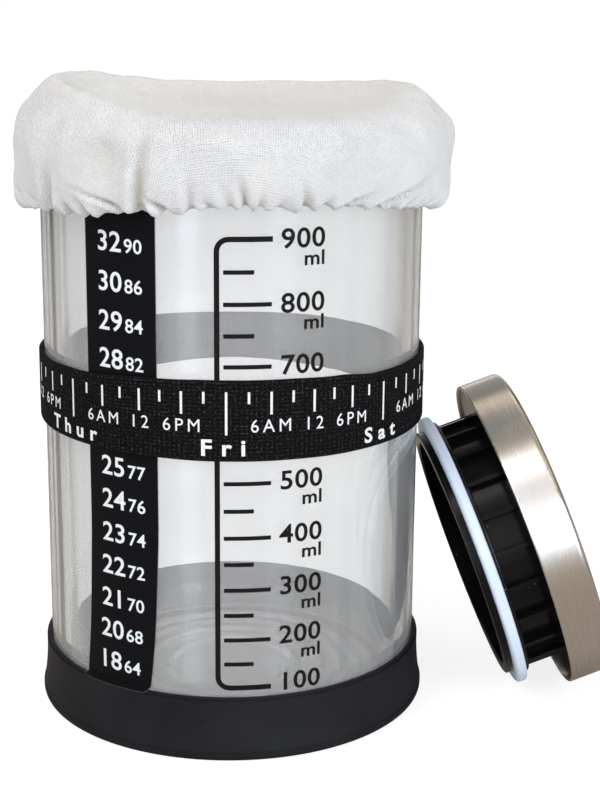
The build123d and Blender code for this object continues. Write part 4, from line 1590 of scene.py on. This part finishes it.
    def cloth_mesh(self) -> bmesh.types.BMesh:
        """Spin the flat round of cloth, map it, shape it over the jar and give it thickness."""
        reaches = [self.inner_row * index for index in range(int(self.dense_from / self.inner_row))]
        count = round((self.flat_radius - self.dense_from) / self.outer_row)
        reaches += [self.dense_from + (self.flat_radius - self.dense_from) * index / count
                    for index in range(count + 1)]
        mesh = spin_outline([Vector((reach, 0, 0)) * MM for reach in reaches], self.columns)
        if sum(face.normal.z for face in mesh.faces) < 0:
            bmesh.ops.reverse_faces(mesh, faces=mesh.faces)
        cloth_map = mesh.loops.layers.uv.new("Cloth")
        for face in mesh.faces:
            for loop in face.loops:
                loop[cloth_map].uv = loop.vert.co.xy
        creases = self.all_creases()
        # Each point keeps how far into a fold it lies, for the painted fold shade
        folds = mesh.verts.layers.float.new("FoldShade")
        sections: dict[int, tuple[list[Vector], list[float], list[Crease]]] = {}
        for vert in mesh.verts:
            reach = vert.co.length / MM
            angle = front_angle(vert.co)
            column = round(angle * self.columns / 360) % self.columns
            if column not in sections:
                points = self.section(angle)
                lengths = [0.0]
                for start, end in zip(points, points[1:]):
                    lengths.append(lengths[-1] + (end - start).length)
                near = [crease for crease in creases if abs(math.remainder(
                    angle - (crease.foot_angle + crease.top_angle) / 2, 360)) < self.crease_reach]
                sections[column] = (points, lengths, near)
            points, lengths, near = sections[column]
            vert.co, vert[folds] = self.shaped(points, lengths, min(reach, self.flat_radius), angle, near)
        bmesh.ops.smooth_vert(mesh, verts=mesh.verts, factor=self.smoothing, use_axis_x=True,
                              use_axis_y=True, use_axis_z=True)
        thicken(mesh, -self.thickness * MM)
        return mesh

    def elastic_mesh(self) -> bmesh.types.BMesh:
        """Spin the elastic and let it follow the hem."""
        inner, outer = self.elastic_radius, self.elastic_radius + self.elastic_thickness
        foot, top = self.elastic_rise, self.elastic_rise + self.elastic_width
        corners: list[Corner] = [(inner, foot, 0), (outer, foot, self.elastic_round),
                                 (outer, top, self.elastic_round), (inner, top, self.elastic_round),
                                 (inner, foot, 0)]
        mesh = spin_outline(outline(corners, 3), self.elastic_columns)
        for vert in mesh.verts:
            vert.co.z += around(self.HEM, front_angle(vert.co)) * MM
        return mesh


# The studio


@dataclass
class Studio:
    """Camera, lamps, world and floor. Lengths in millimetres, angles in degrees."""

    camera_place: tuple[float, float, float] = (0.0, -475.0, 211.2)
    yaw: float = 2.263
    pitch: float = 15.07
    roll: float = 0.498
    focal_pixels: float = 1770.5
    frame_height: float = 800.0
    sensor: float = 36.0
    clip: Span = (0.01, 50.0)
    lamp_size: float = 420.0
    # What matt surfaces see of the world, the floor's tones, and the white that it adds to its shadow
    plain_tone: Colour = (0.56, 0.56, 0.57)
    floor_tone: Colour = (0.80, 0.80, 0.80)
    floor_tone_in_gloss: Colour = (0.46, 0.40, 0.335)
    shadow_tone: Colour = (0.30, 0.30, 0.31)
    floor_glow: float = 0.84
    floor_half_width: float = 4.0

    # Panels of the room by their turn from the front, as a share of half a turn
    LEFT_PANELS = [(0.0, (0.50, 0.48, 0.46)), (0.10, (0.50, 0.48, 0.46)), (0.13, (2.3, 2.45, 2.7)),
                   (0.175, (2.3, 2.45, 2.7)), (0.20, (0.50, 0.48, 0.46))]
    RIGHT_PANELS = [(0.0, (0.50, 0.48, 0.46)), (0.10, (0.50, 0.48, 0.46)), (0.14, (1.5, 1.5, 1.55)),
                    (0.21, (1.5, 1.5, 1.55)), (0.24, (0.50, 0.48, 0.46))]
    SIDE_PANELS = [(0.26, (0.55, 0.50, 0.42)), (0.30, (0.80, 0.78, 0.74)), (0.34, (0.12, 0.11, 0.09)),
                   (0.37, (0.60, 0.54, 0.43)), (0.40, (0.90, 0.90, 0.90)), (0.43, (0.14, 0.13, 0.11)),
                   (0.46, (0.14, 0.13, 0.11)), (0.48, (0.88, 0.87, 0.85)), (0.55, (0.62, 0.56, 0.45)),
                   (0.61, (0.16, 0.15, 0.13)), (0.66, (0.80, 0.78, 0.74))]
    # Streaks of the room far to each side behind the jar, which its thick wall shows along its edges
    LEFT_STREAKS = [(0.745, (0.62, 0.62, 0.58)), (0.775, (0.50, 0.49, 0.45)), (0.785, (0.02, 0.02, 0.02)),
                    (0.815, (0.02, 0.02, 0.02)), (0.828, (0.60, 0.60, 0.57)), (0.842, (0.52, 0.51, 0.48)),
                    (0.855, (0.02, 0.02, 0.02)), (0.876, (0.04, 0.04, 0.04)), (0.886, (0.60, 0.60, 0.60)),
                    (0.905, (0.76, 0.77, 0.77)), (0.925, (0.80, 0.80, 0.81)), (0.935, (0.55, 0.54, 0.53)),
                    (0.945, (0.95, 0.95, 0.96)), (1.0, (1.0, 1.0, 1.0))]
    RIGHT_STREAKS = [(0.745, (0.30, 0.29, 0.26)), (0.77, (0.40, 0.39, 0.37)), (0.79, (0.52, 0.50, 0.46)),
                     (0.815, (0.56, 0.51, 0.42)), (0.83, (0.20, 0.20, 0.19)), (0.845, (0.14, 0.14, 0.14)),
                     (0.862, (0.22, 0.22, 0.22)), (0.878, (0.55, 0.49, 0.38)), (0.892, (0.62, 0.58, 0.50)),
                     (0.905, (0.72, 0.72, 0.73)), (0.918, (0.90, 0.90, 0.91)), (0.95, (1.0, 1.0, 1.0)),
                     (1.0, (1.0, 1.0, 1.0))]

    # Brightness of the room by height, 0.5 level and 1 straight up: behind the jar, then before it
    OVERHEAD = [(0.0, (1.0, 1.0, 1.0)), (0.53, (1.0, 1.0, 1.0)), (0.60, (0.42, 0.40, 0.38)),
                (0.80, (0.40, 0.38, 0.35)), (0.86, (1.7, 1.5, 1.25)), (0.92, (1.7, 1.5, 1.25)),
                (0.955, (1.0, 0.95, 0.88)), (1.0, (0.90, 0.86, 0.82))]
    AHEAD = [(0.0, (0.6, 0.6, 0.6)), (0.40, (0.9, 0.92, 0.97)), (0.49, (2.0, 2.15, 2.4)),
             (0.59, (2.0, 2.2, 2.5)), (0.63, (2.7, 2.8, 2.9)), (0.77, (2.7, 2.75, 2.75)),
             (0.81, (1.9, 1.97, 2.05)), (0.86, (1.1, 1.14, 1.22)), (0.90, (1.9, 1.78, 1.68)),
             (0.955, (1.9, 1.76, 1.65)), (0.98, (1.4, 1.3, 1.22)), (1.0, (1.2, 1.12, 1.05))]

    def build(self) -> None:
        """Set up the whole studio."""
        bpy.context.scene.view_settings.view_transform = "Standard"
        self.camera()
        self.world()
        self.floor()
        self.lamp("window_front_right", (520, -620, 360), (0, 0, 90), 3.8, (0.90, 0.95, 1.0))
        self.lamp("soft_box_top_left", (-420, -300, 620), (0, 0, 110), 2.6, (1.0, 0.97, 0.93))

    def camera(self) -> None:
        """Put the camera where the photograph was taken from."""
        yaw, pitch, roll = (math.radians(value) for value in (self.yaw, self.pitch, self.roll))
        level = math.cos(pitch)
        forward = Vector((math.sin(yaw) * level, math.cos(yaw) * level, -math.sin(pitch)))
        right = Vector((math.cos(yaw), -math.sin(yaw), 0))
        up = right.cross(forward)
        turned_right = math.cos(roll) * right + math.sin(roll) * up
        turned_up = math.cos(roll) * up - math.sin(roll) * right
        data = bpy.data.cameras.new("camera")
        data.sensor_width = self.sensor
        data.lens = self.focal_pixels / self.frame_height * self.sensor
        data.clip_start, data.clip_end = self.clip
        camera = bpy.data.objects.new("camera", data)
        turn = Matrix((turned_right, turned_up, -forward)).transposed()
        camera.matrix_world = Matrix.Translation(Vector(self.camera_place) * MM) @ turn.to_4x4()
        bpy.context.scene.collection.objects.link(camera)
        bpy.context.scene.camera = camera

    def lamp(self, name: str, place: tuple, target: tuple, power: float, colour: Colour) -> None:
        """Add a square soft lamp that glass doesn't show.

        Args:
            name: The lamp's name.
            place: Where it hangs.
            target: The point that it faces.
            power: Its power in watts.
            colour: Its colour.
        """
        data = bpy.data.lights.new(name, "AREA")
        data.size = self.lamp_size * MM
        data.energy = power
        data.color = colour
        lamp = bpy.data.objects.new(name, data)
        towards = (Vector(target) - Vector(place)) * MM
        turn = towards.to_track_quat("-Z", "Y").to_matrix().to_4x4()
        lamp.matrix_world = Matrix.Translation(Vector(place) * MM) @ turn
        lamp.visible_camera = False
        lamp.visible_transmission = False
        bpy.context.scene.collection.objects.link(lamp)

    def world(self) -> None:
        """Make a world that is white to the camera, a room to gloss and glass, and plain to the rest."""
        world = bpy.data.worlds.new("studio")
        bpy.context.scene.world = world
        world.use_nodes = True
        graph = Graph(world.node_tree)
        direction = graph.add("SeparateXYZ", None, {0: graph.add("TexCoord").outputs["Generated"]})
        room, side = self.room(graph, direction)
        level = graph.spread(direction.outputs[2], -1.0, 1.0, 0.0, 1.0)
        behind = graph.spread(side, 0.20, 0.36, 1.0, 0.0)
        sky = graph.blend(behind, graph.ramp(level, self.OVERHEAD), graph.ramp(level, self.AHEAD))
        mirrored = graph.blend(1.0, room, sky, "MULTIPLY")
        path = graph.add("LightPath").outputs
        shiny = graph.math("MAXIMUM", path["Is Glossy Ray"], path["Is Transmission Ray"])
        unseen = graph.blend(shiny, self.plain_tone, mirrored)
        seen = graph.blend(path["Is Camera Ray"], unseen, (1.0, 1.0, 1.0))
        graph.feed(graph.tree.nodes["Background"], {"Color": seen})

    def room(self, graph: Graph, direction: bpy.types.Node) -> tuple[Number, Number]:
        """Colour of the room's panels by the turn of a direction from the front.

        Args:
            graph: The graph to build it in.
            direction: A separated direction.

        Returns:
            The colour, and the turn as a share of half a turn.
        """
        away = graph.math("MULTIPLY", direction.outputs[1], -1.0)
        turn = graph.math("ARCTAN2", direction.outputs[0], away)
        side = graph.math("DIVIDE", graph.math("ABSOLUTE", turn), math.pi)
        left = graph.ramp(side, self.LEFT_PANELS + self.SIDE_PANELS + self.LEFT_STREAKS)
        right = graph.ramp(side, self.RIGHT_PANELS + self.SIDE_PANELS + self.RIGHT_STREAKS)
        return graph.blend(graph.math("GREATER_THAN", turn, 0.0), left, right), side

    def floor(self) -> None:
        """Lay a pale floor that keeps the object's shadow and lets rays out of the glass go through."""
        mesh = bmesh.new()
        bmesh.ops.create_grid(mesh, x_segments=1, y_segments=1, size=self.floor_half_width)
        data = bpy.data.meshes.new("studio_floor")
        mesh.to_mesh(data)
        mesh.free()
        floor = bpy.data.objects.new("studio_floor", data)
        bpy.context.scene.collection.objects.link(floor)
        material, graph, shader = new_material("studio_floor")
        path = graph.add("LightPath").outputs
        tone = graph.blend(path["Is Glossy Ray"], self.floor_tone, self.floor_tone_in_gloss)
        graph.feed(shader, {"Base Color": tone, "Roughness": 0.9, "Specular IOR Level": 0.0})
        shadowed = graph.add("BsdfDiffuse", None, {"Color": self.shadow_tone})
        white = graph.add("Emission", None, {"Color": (1.0, 1.0, 1.0), "Strength": self.floor_glow})
        seen = graph.add("AddShader", None, {0: shadowed.outputs[0], 1: white.outputs[0]})
        lit = graph.mixed_surface(path["Is Camera Ray"], shader, seen)
        clear = graph.add("BsdfTransparent", None, {"Color": (1.0, 1.0, 1.0)})
        show_surface(material, graph, graph.mixed_surface(path["Is Transmission Ray"], lit, clear))
        data.materials.append(material)


def main() -> None:
    """Build the studio and every sub-assembly."""
    logging.basicConfig(level=logging.INFO, format="%(message)s")
    Studio().build()
    for assembly in (Boot(), GlassJar(), ThermometerStrip(), DateBand(), ClothCover(), Lid()):
        assembly.build()
        log.info("%s is built", type(assembly).__name__)


if __name__ == "__main__":
    main()
